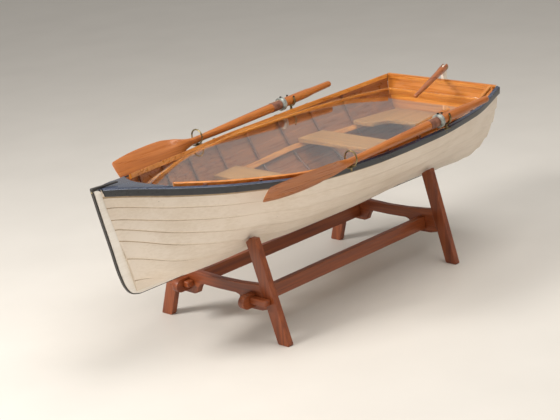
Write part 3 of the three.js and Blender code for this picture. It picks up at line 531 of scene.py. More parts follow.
def leather(name):
    s = Shader(name, Coat_Weight=0.1, Coat_Roughness=0.35)
    cells = s.add("TexVoronoi", {"Vector": s.place, "Scale": 620.0}).outputs["Distance"]
    wear = s.noise(55.0, 4, 0.6)
    s.colour(s.ramp(wear, (0.3, rgb(84, 48, 32)), (0.5, rgb(118, 70, 48)), (0.72, rgb(150, 98, 70))))
    s.roughness(s.spread(wear, 0.3, 0.7, 0.62, 0.4))
    s.bump(s.sum(cells, s.sum(wear, 0.5, "MULTIPLY")), 0.5, 0.0006)
    return s.material


def dull_grey(name):
    s = Shader(name, Metallic=0.35)
    worn = s.noise(90.0, 5, 0.6)
    s.colour(s.ramp(worn, (0.35, rgb(112, 114, 108)), (0.65, rgb(182, 184, 174))))
    s.roughness(s.spread(worn, 0.3, 0.7, 0.55, 0.35))
    s.bump(worn, 0.15, 0.0004)
    return s.material


def clear_glass(name):
    """Plate glass, slightly smeared, that lets the lamps light what lies under it."""
    s = Shader(name, Base_Color=(0.93, 0.965, 0.95, 1), Roughness=0.0, IOR=1.65)
    s.shader.inputs["Transmission Weight"].default_value = 1.0
    smear = s.noise(26.0, 4, 0.6)
    s.roughness(s.spread(smear, 0.45, 0.75, 0.0, 0.035))
    lamp = s.add("LightPath", {}).outputs["Is Shadow Ray"]
    open_air = s.add("BsdfTransparent", {"Color": (0.9, 0.93, 0.92, 1)})
    mix = s.add("MixShader", {0: lamp, 1: s.shader.outputs[0], 2: open_air.outputs[0]})
    s.tree.links.new(mix.outputs[0], s.output.inputs["Surface"])
    return s.material


# Pale, middle and dark colour of each wood.
ORANGE = (rgb(214, 138, 58), rgb(198, 120, 44), rgb(162, 88, 28))
LOOM_ORANGE = (rgb(184, 107, 36), rgb(171, 95, 30), rgb(148, 77, 22))
TILLER_ORANGE = (rgb(176, 100, 42), rgb(160, 86, 34), rgb(134, 68, 26))
INSIDE = (rgb(160, 94, 46), rgb(144, 80, 36), rgb(118, 62, 28))
# Dark varnish for the ribs, darkened further as painted shade.
RIB_DARK_AND_SHADE = (rgb(136, 76, 40), rgb(114, 60, 31), rgb(88, 44, 22))
TAN = (rgb(184, 134, 80), rgb(168, 116, 64), rgb(140, 92, 46))
# The floor boards are coloured very dark.
FLOOR = (rgb(98, 76, 58), rgb(74, 56, 42), rgb(44, 32, 24))
MAHOGANY = (rgb(150, 77, 34), rgb(128, 61, 26), rgb(98, 43, 17))
orange_x = wood("orange_varnish_x", "x", *ORANGE)
orange_y = wood("orange_varnish_y", "y", *ORANGE)
loom_x = wood("oar_varnish_x", "x", *LOOM_ORANGE, pores=0.12)
inside_x = wood("inside_varnish_x", "x", *INSIDE)
tiller_x = wood("tiller_varnish", "x", *TILLER_ORANGE)
rib_dark_and_shade = wood("rib_varnish_and_painted_shade", "y", *RIB_DARK_AND_SHADE)
tan_y = wood("seat_varnish_y", "y", *TAN, coat=0.15, gloss=0.38)
tan_x = wood("seat_varnish_x", "x", *TAN, coat=0.15, gloss=0.38)
floor_x = wood("floor_stain", "x", *FLOOR, gloss=0.5, coat=0.0)
mahogany = {axis: wood(f"mahogany_{axis}", axis, *MAHOGANY, gloss=0.4, coat=0.14) for axis in "xyz"}
cream = paint("cream_paint", rgb(236, 221, 203), rgb(226, 209, 188), rgb(130, 106, 82))
# A lighter copy of the hull's cream paint for the keel and stem, as painted light.
lit_stem_cream = paint("stem_paint_painted_light", rgb(246, 238, 226), rgb(238, 228, 214), rgb(130, 106, 82))
# Painted shade: a darker brown for the band just below each lap and below the rail.
painted_lap_shade = paint("painted_lap_shade", rgb(178, 152, 120), rgb(150, 124, 94), rgb(110, 88, 66))
# The rail's one navy paint in two copies: near-black for the sides as painted shade, lighter and
# bluer for faces that look up as painted sheen.
shaded_navy_side = paint("rail_side_painted_shade", rgb(46, 49, 53), rgb(30, 32, 35), rgb(120, 116, 108), 0.3)
lit_navy_top = paint("rail_top_painted_sheen", rgb(58, 66, 86), rgb(40, 46, 62), rgb(130, 126, 120), 0.24, 0.7)
black = paint("black_paint", rgb(48, 42, 36), rgb(28, 24, 21), rgb(90, 78, 66), 0.36)
brass = metal("aged_brass", rgb(176, 158, 116), rgb(92, 78, 52))
brown_leather = leather("brown_leather")
collar_grey = dull_grey("dark_collar")
thread = paint("waxed_thread", rgb(196, 180, 150), rgb(150, 132, 104), rgb(96, 80, 60), 0.7)
dark_metal = metal("dark_metal", rgb(70, 62, 54), rgb(30, 26, 22), 0.35, 0.6)
glass = clear_glass("clear_glass")


def placed(piece, material, body, slot, *nodes):
    """Gives a piece its body and CAD nodes, and the material unless it has its own. slot is not used.
    """
    if not piece.data.materials:
        piece.data.materials.append(material)
    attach(piece, body)
    if nodes:
        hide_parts(*nodes)
    return piece


# ------ planking and backbone
def seam(t, row):
    blend = np.clip((t - 0.45) / 0.55, 0, 1) ** 2
    return SEAMS_MIDSHIPS[row] * (1 - blend) + SEAMS_AT_STEM[row] * blend


def hood_end(g):
    """Station where the planking stops short on the stem's side."""
    height = sampled(HULL, np.ones_like(g), g)[..., 2]
    x = np.interp(height, HOOD_HEIGHTS, HOOD_XS)
    return (x - STERN_X) / (SHEER_LENGTH + (KEEL_LENGTH - SHEER_LENGTH) * g ** STEM_CURVE)


def plank(row, hand, side):
    """One strake: a band of the hull surface, stepped out at its lower edge, with eased edges and a
    band of painted shade just below the lap above it, or below the rail on the top strake.
    """
    t = np.linspace(PLANK_START, 1, 90)[:, None]
    mm = 1 / girth(t)
    lap = LAP * mm
    # shade is the width of the band of painted shade below the lap, or below the rail on the top
    # strake.
    hidden, shade = (RAIL_DEPTH * mm, RAIL_SHADE * mm) if row == 0 else (lap, SEAM_SHADE * mm)
    top, foot = seam(t, row), seam(t, row + 1)
    edge = top if row == 0 else top - lap
    below = edge + hidden + shade
    spread = np.linspace(0, 1, 10)[None, :]
    broad = below + (foot - mm - below) * spread
    g = np.concatenate([edge, edge + 2 * mm, edge + hidden, broad, foot], axis=1)
    ramp = np.clip((g - top - lap * 0.2) / (foot - lap - top), 0, 1)
    land = LAND * np.interp(t, [0, 0.93, 1], [1, 1, 0.3])
    outer = land * (2 * ramp - 1)
    soft = np.zeros_like(outer)
    soft[:, [0, -1]] = PLANK_EASE
    reach = PLANK_START + (t - PLANK_START) * (hood_end(g) - PLANK_START) / (1 - PLANK_START)
    faces = [skin(reach, g, outer - soft), skin(reach, g, outer - PLANK + soft)[:, ::-1]]
    # The gap to the stem differs from row to row, so that no two planks share a surface.
    inmost = BACKBONE_HALF + PLANK_GAP_IN - 0.03 * row
    faces[0][..., 1] = np.maximum(faces[0][..., 1], BACKBONE_HALF + PLANK_GAP_OUT - 0.1 * row)
    faces[1][..., 1] = np.maximum(faces[1][..., 1], inmost)
    faces[1][-2:, :, 1] = inmost
    rings = on_side(np.concatenate(faces, axis=1), side)
    name = f"plank_{row + 1}_{hand}"
    across = g.shape[1] - 1
    edge_slots = [0, 0, 3, *[0] * (across - 2), *[1] * across, 2]
    piece = loft(f"fine_{name}", rings, smooth=50, edge_slots=edge_slots)
    # Slots: cream, inside varnish, the upper edge (on the top strake the lighter navy copy, painted
    # sheen) and the band of painted shade.
    for material in (cream, inside_x, lit_navy_top if row == 0 else cream, painted_lap_shade):
        piece.data.materials.append(material)
    placed(piece, cream, "hull", "cream_paint", name)


def stem_line(inset, count=64):
    """Front of the stem down to the keel, moved in by a share of the dark band's width."""
    line = spline(STEM_FRONT, count)
    along = unit(np.gradient(line, axis=0))
    ease = eased(np.linspace(0, 1, count), 0.62, 0.38)
    width = BAND_AT_STEM + (BAND_AT_KEEL - BAND_AT_STEM) * ease
    inward = np.stack([along[:, 1], -along[:, 0]], axis=1)
    return line + inward * (width * inset)[:, None] if inset else line


def backbone():
    front = stem_line(1.02)
    front[0] = (front[0][0], STEM_BACK[0][1] + 2)
    bottom = KEEL_BOTTOM + BAND_AT_KEEL + 0.1
    outline = [*front, (KEEL_AFT, bottom), (KEEL_AFT, KEEL_TOP + 6), *spline(STEM_BACK, 24)[::-1]]
    stem = plate("fine_keel_and_stem", outline, "y", -BACKBONE_HALF, BACKBONE_HALF, 0.8, 2)
    # The keel and stem take the lighter copy of the cream paint, painted light.
    placed(stem, lit_stem_cream, "hull", "cream_paint", "keel_and_stem")


def stem_band():
    outer, inner = stem_line(0), stem_line(1)
    outline = [(856, 571), (856, 574.5), (952, 578), *outer, (KEEL_AFT, KEEL_BOTTOM),
               (KEEL_AFT, KEEL_BOTTOM + BAND_AT_KEEL), *inner[:0:-1], (932, 571)]
    band = plate("fine_stem_band", outline, "y", -BAND_HALF, BAND_HALF, 1.2, 3)
    placed(band, black, "hull", "black_paint", "stem_band")
    dome = [(0, 3.6), (1.2, 3.4), (2.2, 2.4), (2.7, 0.8)]
    rivet = turned("stem_head_rivet", dome, (950.6, 0, 566), (0.97, 0, 0.24), 20)
    placed(rivet, brass, "hull", "aged_brass")


def breasthook():
    u, v = np.linspace(0, 1, 22)[:, None], np.linspace(-1, 1, 33)[None, :]
    aft = HOOK_AFT - HOOK_HOLLOW * v * v
    x = aft + (HOOK_FORE - aft) * u
    half = np.maximum(rail_breadth(x) - RAIL_WIDTH - 1.5, 7.4)
    z = rail_height(x) + 8 - 4 * u - 1.5 * v * v
    top = np.stack(np.broadcast_arrays(x, v * half, z), -1)
    low = np.stack(np.broadcast_arrays(x, v * (half - 1), z - HOOK_THICK), -1)
    rings = np.concatenate([top, low[:, ::-1]], axis=1)
    piece = bevelled(loft("fine_breasthook", rings), 1.0, 2, 50)
    # The breasthook takes the lighter navy copy, painted sheen.
    placed(piece, lit_navy_top, "hull", "navy_paint", "breasthook")


def transom():
    """Board that follows the planks' steps, varnished inside and along its top."""
    under = (RAIL_DEPTH + 1.5) / girth(0.0)
    g = np.array([0, under, *np.linspace(under, 1, 140)])
    share = np.interp(g, seam(0.0, np.arange(8)), np.arange(8)) % 1
    offset = LAND * (2 * share - 1) - 0.8
    offset[:2] = -LAND - 0.5
    side = skin(np.zeros_like(g), g, offset)[:, 1:]
    side[0] = (side[0][0] - 0.5, TRANSOM_TOP)
    side[:, 0] = np.maximum(side[:, 0], BACKBONE_HALF)
    side[:, 1] = np.maximum(side[:, 1], KEEL_TOP + 6.3)
    outline = np.concatenate([side, (side * [-1, 1])[::-1]])
    inner = TRANSOM_FACE + TRANSOM_THICK
    piece = plate("fine_transom", outline, "x", TRANSOM_FACE, inner, 1.2, 2)
    piece.data.materials.append(orange_y)
    piece.data.materials.append(cream)
    for face in piece.data.polygons:
        face.material_index = int(face.normal.x < 0.5 and face.normal.z < 0.8)
    placed(piece, orange_y, "hull", "orange_varnish", "transom")
    cap = block("transom_cleat", inner, inner + 6, -228, 228, 522, 535.5, 1.6)
    placed(cap, orange_y, "hull", "orange_varnish")


# ------ rails, inwales, ribs
def oar_frame(oar):
    stern, bow = np.array(oar["stern"], float), np.array(oar["bow"], float)
    along = unit(bow - stern)
    handle = stern + along * (oar["end"] - stern[0]) / along[0]
    up = unit(np.array([0, 0, 1]) - along * along[2])
    out = np.cross(along, up) * -oar["side"]
    return handle, along, up, out


def oar_at(oar, x):
    handle, along, _, _ = oar_frame(oar)
    return handle + along * (x - handle[0]) / along[0]


def rowlock_foot(oar, x):
    return np.array([x, oar_at(oar, x)[1], rail_height(x) - 0.4])


def rail(hand, side):
    t = np.concatenate([[RAIL_START], np.linspace(PLANK_START, RAIL_END, 84)])
    x = sheer_x(t)
    drop = RAIL_DEPTH / girth(t)
    ramp = np.clip(drop / (seam(t, 1) - LAP / girth(t)), 0, 1)
    ring = [rim(x, 0, 0), rim(x, RAIL_WIDTH, RAIL_WIDTH * RAIL_TILT),
            skin(t, 0 * t, -LAND + RAIL_BED), skin(t, drop, -LAND + 2 * LAND * ramp + RAIL_BED)]
    foot = ring[3] + [0, RAIL_WIDTH - 1, 0]
    for edge in ring[1:]:
        edge[:, 1] = np.maximum(edge[:, 1], BACKBONE_HALF + RAIL_GAP_IN)
    ring[0][:, 1] = np.maximum(ring[0][:, 1], BACKBONE_HALF + RAIL_GAP_OUT)
    rings = rounded(on_side(np.stack([*ring, foot], axis=1), side), 1.5, 4)
    piece = loft(f"fine_rail_{hand}", rings)
    oar = OARS[hand]
    feet = [rowlock_foot(oar, oar[key]) for key in ("ring", "horn")]
    seats = [block("seat", x - SEAT_HALF, x + SEAT_HALF, y - 20, y + 20, z - 0.6, z + 20)
             for x, y, z in feet]
    cut(piece, *seats)
    shaded(piece, 40)
    # Faces that look up take the lighter navy copy as painted sheen, the rest the near-black copy as
    # painted shade.
    piece.data.materials.clear()
    for material in (shaded_navy_side, lit_navy_top):
        piece.data.materials.append(material)
    for face in piece.data.polygons:
        face.material_index = int(face.normal.z > 0.55)
    placed(piece, shaded_navy_side, "hull", "navy_paint", f"rail_{hand}")
    for key, (x, y, z) in zip(("ring", "horn"), feet):
        width = 7 if key == "ring" else 8
        base = block(f"{key}_plate_{hand}", x - PLATE_HALF, x + PLATE_HALF, y - width, y + width,
                     z - 2.2, z - 0.2, 0.7)
        placed(base, brass, "hull", "aged_brass")


def inwale(hand, side):
    t = np.linspace(0.0105, INWALE_END, 80)
    x = sheer_x(t)
    lean = np.tan(topside_lean(t))
    low = rim(x, INWALE_OUTER + 15 * np.maximum(lean, 0), -4)
    ring = [rim(x, INWALE_OUTER, INWALE_OUTER * RAIL_TILT),
            rim(x, INWALE_INNER, INWALE_INNER * RAIL_TILT),
            rim(x, INWALE_INNER + 2, -2.4), low]
    piece = loft(f"fine_inwale_{hand}", rounded(on_side(np.stack(ring, axis=1), side), 1.8, 3))
    placed(piece, orange_x, "hull", "orange_varnish", f"inwale_{hand}")


def rib(number, x):
    head = -6 / girth((x - STERN_X) / SHEER_LENGTH)
    g = np.concatenate([[head], np.linspace(0.02, 0.96, 26)])
    corners = []
    for inside, fore in ((RIB_OUTER, -1), (RIB_OUTER, 1), (RIB_INNER, 1), (RIB_INNER, -1)):
        goal = x + fore * RIB_WIDTH / 2
        t = np.full_like(g, (goal - STERN_X) / SHEER_LENGTH)
        for _ in range(5):
            at = skin(t, g, -inside)
            t = t + (goal - at[:, 0]) / SHEER_LENGTH
        at[:, 0] = goal
        corners.append(at)
    port = np.stack(corners, axis=1)
    rings = rounded(np.concatenate([port, on_side(port, -1)[::-1]]), 1.3, 2)
    # The ribs take dark varnish darkened further as painted shade.
    placed(loft(f"fine_rib_{number}", rings), rib_dark_and_shade, "hull", "orange_varnish", f"rib_{number}")


# ------ inside the boat
riser_top = through([(-640, 396), (-150, 396), (120, 386), (620, 386)])


def riser(hand, side):
    t = np.linspace(0.02, 0.79, 60)
    top = riser_top(sheer_x(t))
    outer = [skin_at_height(t, z, -RIB_INNER - 1) for z in (top, top - RISER_DEPTH)]
    inner = [p - [0, RISER_WIDTH, 0] for p in outer]
    ring = np.stack([outer[0], outer[1], inner[1], inner[0]], axis=1)
    piece = loft(f"fine_riser_{hand}", rounded(on_side(ring, side), 1.5, 2))
    placed(piece, orange_x, "hull", "orange_varnish", f"riser_{hand}")


def thwart(name, aft, fore, top):
    xs = np.linspace(aft, fore, 9)
    outline = both_sides(xs, half_breadth(xs, top - SEAT_THICK))
    piece = plate(f"fine_{name}", outline, "z", top - SEAT_THICK, top, 2.0, 4)
    placed(piece, tan_y, "hull", "light_varnish", name)


def bezier(a, b, c, d, count=14):
    s = np.linspace(0, 1, count)[:, None]
    a, b, c, d = (np.array(v, float) for v in (a, b, c, d))
    return (1 - s) ** 3 * a + 3 * (1 - s) ** 2 * s * b + 3 * (1 - s) * s ** 2 * c + s ** 3 * d


def stern_sheets():
    """U-shaped seat: two arms along the sides, joined across the stern by a hollow curve."""
    tip, middle, low = -436, -510, SEAT_TOP - SEAT_THICK
    xs = np.linspace(TRANSOM_FACE + TRANSOM_THICK + 2, tip, 16)
    half = half_breadth(xs, low)
    inner = half[-1] - 82
    corner = bezier((tip, inner + 12), (tip, inner + 4),
                    (tip - 6, inner - 2), (tip - 14, inner - 4), 6)
    sweep = bezier((tip - 14, inner - 4), (tip - 45, inner - 14),
                   (middle, inner - 20), (middle, inner - 55))
    port = np.array([*zip(xs, half), *corner, *sweep[1:]])
    outline = np.concatenate([port, (port * [1, -1])[::-1]])
    piece = plate("fine_stern_sheets", outline, "z", low, SEAT_TOP, 2.0, 4)
    placed(piece, tan_x, "hull", "light_varnish", "stern_sheets")


def floor_boards():
    width = through([(-560, 60), (-380, 86), (-100, 92), (200, 88), (470, 58)])
    xs = np.linspace(-558, 468, 36)
    limit = np.minimum(width(xs), half_breadth(xs, FLOOR_LOW) - 1)
    boards = []
    for low, high in zip(BOARD_EDGES[:-1], BOARD_EDGES[1:]):
        near = np.clip(low + BOARD_GAP / 2, -limit, limit)
        far = np.clip(high - BOARD_GAP / 2, -limit, limit)
        keep = far - near > 6
        outline = [*zip(xs[keep], far[keep]), *zip(xs[keep][::-1], near[keep][::-1])]
        boards.append(plate("board", outline, "z", FLOOR_LOW, FLOOR_HIGH, 1.2, 2))
    piece = joined("fine_floor_boards", boards)
    placed(piece, floor_x, "hull", "floor_stain", "floor_boards")


def glass_half(x):
    rim_side = rail_breadth(x) - INWALE_INNER - 4.5
    return np.minimum(rim_side, half_breadth(x, GLASS_TOP - GLASS_THICK, -(RIB_INNER + 2.5)))


def glass_plate():
    xs = np.linspace(GLASS_AFT, GLASS_FORE, 60)
    outline = both_sides(xs, glass_half(xs))
    piece = plate("fine_glass_top", outline, "z", GLASS_TOP - GLASS_THICK, GLASS_TOP, 0.7, 2)
    placed(piece, glass, "glass", "clear_glass", "glass_top")


def glass_ledge():
    top = GLASS_TOP - GLASS_THICK - 0.3
    xs = np.linspace(GLASS_AFT, GLASS_FORE - 6, 60)
    outer = np.minimum(glass_half(xs), half_breadth(xs, top - LEDGE_DEPTH))
    parts = []
    for _, side in HANDS:
        ring = [np.stack([xs, outer - inside, np.full_like(xs, top - down)], -1)
                for inside, down in ((0, 0), (LEDGE_WIDTH, 0), (LEDGE_WIDTH, LEDGE_DEPTH),
                                     (0, LEDGE_DEPTH))]
        parts.append(loft("run", rounded(on_side(np.stack(ring, axis=1), side), 0.8, 2)))
    across = outer[0] - 2
    parts.append(block("aft", GLASS_AFT, GLASS_AFT + LEDGE_WIDTH, -across, across,
                       top - LEDGE_DEPTH, top - 0.1, 0.8))
    piece = joined("fine_glass_ledge", parts)
    placed(piece, orange_x, "hull", "orange_varnish", "glass_ledge")


# ------ oars and rowlocks
def oar_shaft(hand, oar):
    """Round loom that flattens into a canted, curved blade with a raised spine."""
    handle, along, up, out = oar_frame(oar)
    distances = np.unique(np.concatenate([
        [0, 1, 2.2, 4, 6.5, 10], np.linspace(10, BLADE_START - 2, 70),
        np.linspace(BLADE_START - 2, 1036, 60),
        OAR_LENGTH - 12 * (1 - np.sin(np.linspace(0, np.pi / 2, 12)))]))
    loom, wide, thick = through(LOOM), through(BLADE_WIDTH), through(BLADE_THICK)
    turn = np.linspace(0, 2 * np.pi, 32, endpoint=False)
    rings = []
    for s in distances:
        if s <= BLADE_START:
            width = depth = loom(s)
        else:
            width, depth = wide(s), min(wide(s), thick(s))
        cant = BLADE_CANT * eased(s, 690, 110)
        lift = BLADE_LIFT * np.clip((s - 760) / (OAR_LENGTH - 760), 0, 1) ** 2
        spine = 1.6 * np.clip((s - 720) / 60, 0, 1) * np.clip((960 - s) / 160, 0, 1)
        across = -width * np.cos(turn)
        ridge = spine * np.exp(-(across / 9) ** 2) * np.sign(np.sin(turn))
        face = depth * np.sin(turn) + ridge + lift
        centre = handle + along * s
        ring = [centre + up * (a * np.cos(cant) + f * np.sin(cant))
                + out * (a * np.sin(cant) - f * np.cos(cant)) for a, f in zip(across, face)]
        rings.append(ring)
    piece = loft(f"fine_oar_{hand}", rings, smooth=60)
    placed(piece, loom_x, f"oar_{hand}", "orange_varnish", f"oar_{hand}")


def oar_fittings(hand, oar):
    handle, along, up, out = oar_frame(oar)
    body = f"oar_{hand}"
    start, end, radius = SLEEVE
    bore = through(LOOM)(start) + 0.1
    profile = [(0, bore), (0, radius - 0.9), (0.5, radius - 0.2), (1.5, radius), (5, radius - 0.3),
               (22, radius - 0.1), (39, radius - 0.3), (42.5, radius), (43.5, radius - 0.2),
               (end - start, radius - 0.9), (end - start, bore)]
    sleeve = turned(f"fine_oar_sleeve_{hand}", profile, handle + along * start, along, 40)
    placed(sleeve, brown_leather, body, "brown_leather", f"oar_sleeve_{hand}")
    stitches = []
    for k in range(9):
        at = handle + along * (start + 3.5 + 4.6 * k) + up * radius
        ends = [at - out * 2.2, at + out * 2.2]
        lace = [(0, 0.15), (0.3, 0.5), (2.2, 0.75), (4.1, 0.5), (4.4, 0.15)]
        stitches.append(turned("stitch", lace, ends[0] - up * 0.15, ends[1] - ends[0], 8))
    placed(joined(f"sleeve_stitches_{hand}", stitches), thread, body, "brown_leather")
    start, end, radius = COLLAR
    length = end - start
    half = [(0, bore), (0, radius - 2.2), (0.7, radius - 0.7), (2.4, radius)]
    profile = half + [(length - distance, r) for distance, r in half[::-1]]
    collar = turned(f"fine_oar_collar_{hand}", profile, handle + along * start, along, 48)
    placed(collar, collar_grey, body, "dark_collar", f"oar_collar_{hand}")
    bolt = [(0, 2.2), (3.2, 2.2), (3.3, 4), (5.6, 4), (6.4, 3.2), (6.5, 0.4)]
    at = handle + along * (start + length / 2) + up * (radius - 3)
    placed(turned(f"collar_screw_{hand}", bolt, at, up, 6), dark_metal, body, "dark_collar")


def swept(path, across, other, wide, thick, power=0.7, segments=16):
    """Rings of a flattened round section along a path."""
    turn = np.linspace(0, 2 * np.pi, segments, endpoint=False)
    c, s = np.cos(turn), np.sin(turn)
    c, s = np.sign(c) * np.abs(c) ** power, np.sign(s) * np.abs(s) ** power
    return np.array([p + np.outer(c * w, a) + np.outer(s * h, b)
                     for p, a, b, w, h in zip(path, across, other, wide, thick)])


def hoop(angles):
    """Spokes of a circle that stands across the boat, and the way forward at each."""
    spokes = np.stack([0 * angles, np.cos(angles), np.sin(angles)], -1)
    return spokes, np.tile([1.0, 0, 0], (len(angles), 1))


def ring_rowlock(hand, oar):
    foot = rowlock_foot(oar, oar["ring"])
    centre = foot.copy()
    loom = oar_at(oar, oar["ring"])[2]
    centre[2] = loom - LOOM_IN_RING - RING_PLAY + RING_RADIUS - RING_WIRE
    spokes, forward = hoop(np.linspace(0, 2 * np.pi, 72, endpoint=False))
    path = centre + spokes * RING_RADIUS
    size = np.full(len(path), RING_WIRE)
    ring = loft("ring", swept(path, forward, spokes, size, size, 1.0, 14), ring_closed=True)
    stem = [(-14, 2.6), (-13, 3), (0.3, 3), (0.4, 6.6), (1.6, 6.6), (2.4, 4.2), (3.4, 3.2)]
    base = turned("base", stem, foot, (0, 0, 1), 24)
    piece = joined(f"fine_ring_rowlock_{hand}", [ring, base])
    placed(piece, brass, f"ring_{hand}", "aged_brass", f"ring_rowlock_{hand}")


def horn_rowlock(hand, oar):
    foot, centre = rowlock_foot(oar, oar["horn"]), oar_at(oar, oar["horn"])
    centre = np.array([foot[0], centre[1], centre[2]])
    arc = np.linspace(math.pi - HORN_RISE, 2 * math.pi + HORN_RISE, 64)
    spokes, forward = hoop(arc)
    share = np.abs(np.linspace(-1, 1, len(arc)))
    path = centre + HORN_RADIUS * spokes
    wide, thick = 4.8 - 2 * share ** 3, 2 + 0.4 * (1 - share)
    band = loft("band", swept(path, forward, spokes, wide, thick, 0.75))
    drop = centre[2] - HORN_RADIUS - 1 - foot[2]
    stem = [(-14, 2.6), (-13, 3), (0.3, 3), (0.4, 6.8), (1.8, 6.8), (2.8, 4.4),
            (drop - 3, 3.8), (drop, 5.2)]
    base = turned("base", stem, foot, (0, 0, 1), 24)
    piece = joined(f"fine_horn_rowlock_{hand}", [band, base])
    placed(piece, brass, f"horn_{hand}", "aged_brass", f"horn_rowlock_{hand}")
    balls = []
    for sign in (-1, 1):
        out, rise = sign * math.cos(BALL_RISE), math.sin(BALL_RISE)
        inward = np.array([0, -sign * rise, abs(out)])
        angle = np.linspace(0.04, np.pi - 0.04, 14)
        ball = [(BALL_RADIUS * (1 - math.cos(a)), BALL_RADIUS * math.sin(a)) for a in angle]
        middle = centre + BALL_CIRCLE * np.array([0, out, rise])
        balls.append(turned("ball", ball, middle - BALL_RADIUS * inward, inward, 20))
    placed(joined(f"horn_tips_{hand}", balls), dark_metal, f"horn_{hand}", "aged_brass")


# ------ rudder and tiller
def swing(piece):
    """Turns a piece to the rudder's resting angle."""
    pivot = Vector(metres((RUDDER_X, 0, 0)))
    spin = Matrix.Rotation(RUDDER_SWING, 4, "Z")
    turn = Matrix.Translation(pivot) @ spin @ Matrix.Translation(-pivot)
    piece.data.transform(turn)
    return piece


def rudder():
    head, lead = RUDDER_X - 30, RUDDER_X + 4
    arc = np.linspace(0, np.pi, 24)
    middle, radius = (lead + head) / 2, (lead - head) / 2
    crown = np.stack([middle + radius * np.cos(arc), RUDDER_HEAD + radius * np.sin(arc)], -1)
    back = RUDDER_X - 73
    foot = RUDDER_FOOT
    outline = [(lead, foot), *crown, *bezier((head, 500), (head, 450), (back, 430), (back, 360)),
               *bezier((back, 262), (back, 244), (back + 10, foot), (back + 28, foot), 8)]
    blade = plate("fine_rudder", outline, "y", -RUDDER_HALF, RUDDER_HALF)
    notches = [block("notch", RUDDER_X - 6, RUDDER_X + 6, -8, 8, z - 10, z) for z in RUDDER_HINGES]
    cut(blade, *notches)
    bevelled(blade, 1.8, 4)
    placed(swing(blade), cream, "rudder", "cream_paint", "rudder")
    for number, z in enumerate(RUDDER_HINGES):
        straps = [block("strap", RUDDER_X - 42, RUDDER_X + 3, y - 0.8, y + 0.8, z, z + 12, 0.5)
                  for y in (-5.9, 5.9)]
        rod = [(0, 2.2), (1, 2.9), (26, 2.9), (27, 2.2)]
        pintle = turned("pintle", rod, (RUDDER_X + 0.2, 0, z - 8), (0, 0, 1))
        strap = swing(joined(f"rudder_strap_{number + 1}", [*straps, pintle]))
        placed(strap, brass, "rudder", "aged_brass")
        eye = [(0, 3.2), (0, 5.2), (7, 5.2), (7, 3.2)]
        lug = turned("lug", eye, (RUDDER_X + 0.2, 0, z - 8.5), (0, 0, 1))
        wings = block("wings", TRANSOM_FACE - 2, TRANSOM_FACE, -20, 20, z - 9, z - 1, 0.6)
        placed(joined(f"gudgeon_{number + 1}", [lug, wings]), brass, "hull", "aged_brass")


def tiller():
    """Forked bar with its bolt, drawn along +X from the bolt, then dropped and swung into place."""
    cheek, slit = 11.4, RUDDER_HALF + 0.4
    knots = [(-16, cheek - 0.6, 10), (-15, cheek, 10.9), (-12, cheek, 11.9), (30, cheek, 11.9),
             (62, 9.5, 10), (150, 8.5, 8.5), (280, 6.8, 6.8), (298, 6.4, 6.4), (302.5, 5, 5),
             (304, 2.5, 2.5)]
    wide, tall = through([(x, y) for x, y, _ in knots]), through([(x, z) for x, _, z in knots])
    xs = np.unique(np.concatenate([np.linspace(-16, -12, 6), np.linspace(-12, 296, 60),
                                   np.linspace(296, 304, 10)]))
    path = np.stack([xs, 0 * xs, 0 * xs], -1)
    sideways, upright = (np.tile(v, (len(xs), 1)) for v in ([0.0, 1, 0], [0.0, 0, 1]))
    bar = loft("bar", swept(path, sideways, upright, wide(xs), tall(xs), 0.75, 28))
    cut(bar, block("slot", -40, 26, -slit, slit, -30, 30))
    rod = [(0, 2), (0.6, 4.2), (2, 4.4), (2.1, 2.5),
           (24.7, 2.5), (24.8, 4.4), (26.2, 4.2), (26.8, 2)]
    bolt = turned("bolt", rod, (0, -13.4, 0), (0, 1, 0), 20)
    pivot = Vector(metres((0, 0, 0)))
    home = Vector(metres((RUDDER_X - BOLT_BACK, 0, BOLT_HEIGHT)))
    drop = Matrix.Rotation(TILLER_DROP, 4, "Y")
    turn = Matrix.Translation(home) @ drop @ Matrix.Translation(-pivot)
    for piece, name in ((bar, "fine_tiller"), (bolt, "tiller_bolt")):
        piece.data.transform(turn)
        piece.name = name
        shaded(swing(piece), 40)
    placed(bar, tiller_x, "tiller", "orange_varnish", "tiller")
    placed(bolt, brass, "tiller", "aged_brass")


# ------ stand
def softened(node, material, bevel, body="stand"):
    """Rounded copy of a flat-sided CAD piece."""
    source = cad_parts[node]
    mesh = source.data.copy()
    work = bmesh.new()
    work.from_mesh(mesh)
    bmesh.ops.remove_doubles(work, verts=work.verts, dist=2e-5)
    bmesh.ops.dissolve_limit(work, angle_limit=math.radians(1), verts=work.verts, edges=work.edges)
    work.to_mesh(mesh)
    work.free()
    mesh.materials.clear()
    mesh.name = f"soft_{node}"
    piece = linked(f"soft_{node}", mesh)
    bevelled(piece, bevel, 4, 25)
    placed(piece, material, body, "mahogany", node)


for hand, side in HANDS:
    for row in range(7):
        plank(row, hand, side)
    rail(hand, side)
    inwale(hand, side)
    riser(hand, side)
    oar_shaft(hand, OARS[hand])
    oar_fittings(hand, OARS[hand])
    ring_rowlock(hand, OARS[hand])
    horn_rowlock(hand, OARS[hand])
    softened(f"peg_{hand}", mahogany["y"], 1.6, f"peg_{hand}")
    softened(f"stretcher_{hand}", mahogany["x"], 2.4)
    for end in ("bow", "stern"):
        softened(f"leg_{end}_{hand}", mahogany["z"], 2.6)
for end in ("bow", "stern"):
    softened(f"crossbar_{end}", mahogany["y"], 2.2)
for number, x in enumerate(RIB_XS):
    rib(number + 1, x)
backbone()
stem_band()
breasthook()
transom()
for name, (aft, fore, top) in SEATS.items():
    thwart(name, aft, fore, top)
stern_sheets()
floor_boards()
glass_ledge()
glass_plate()
rudder()
tiller()


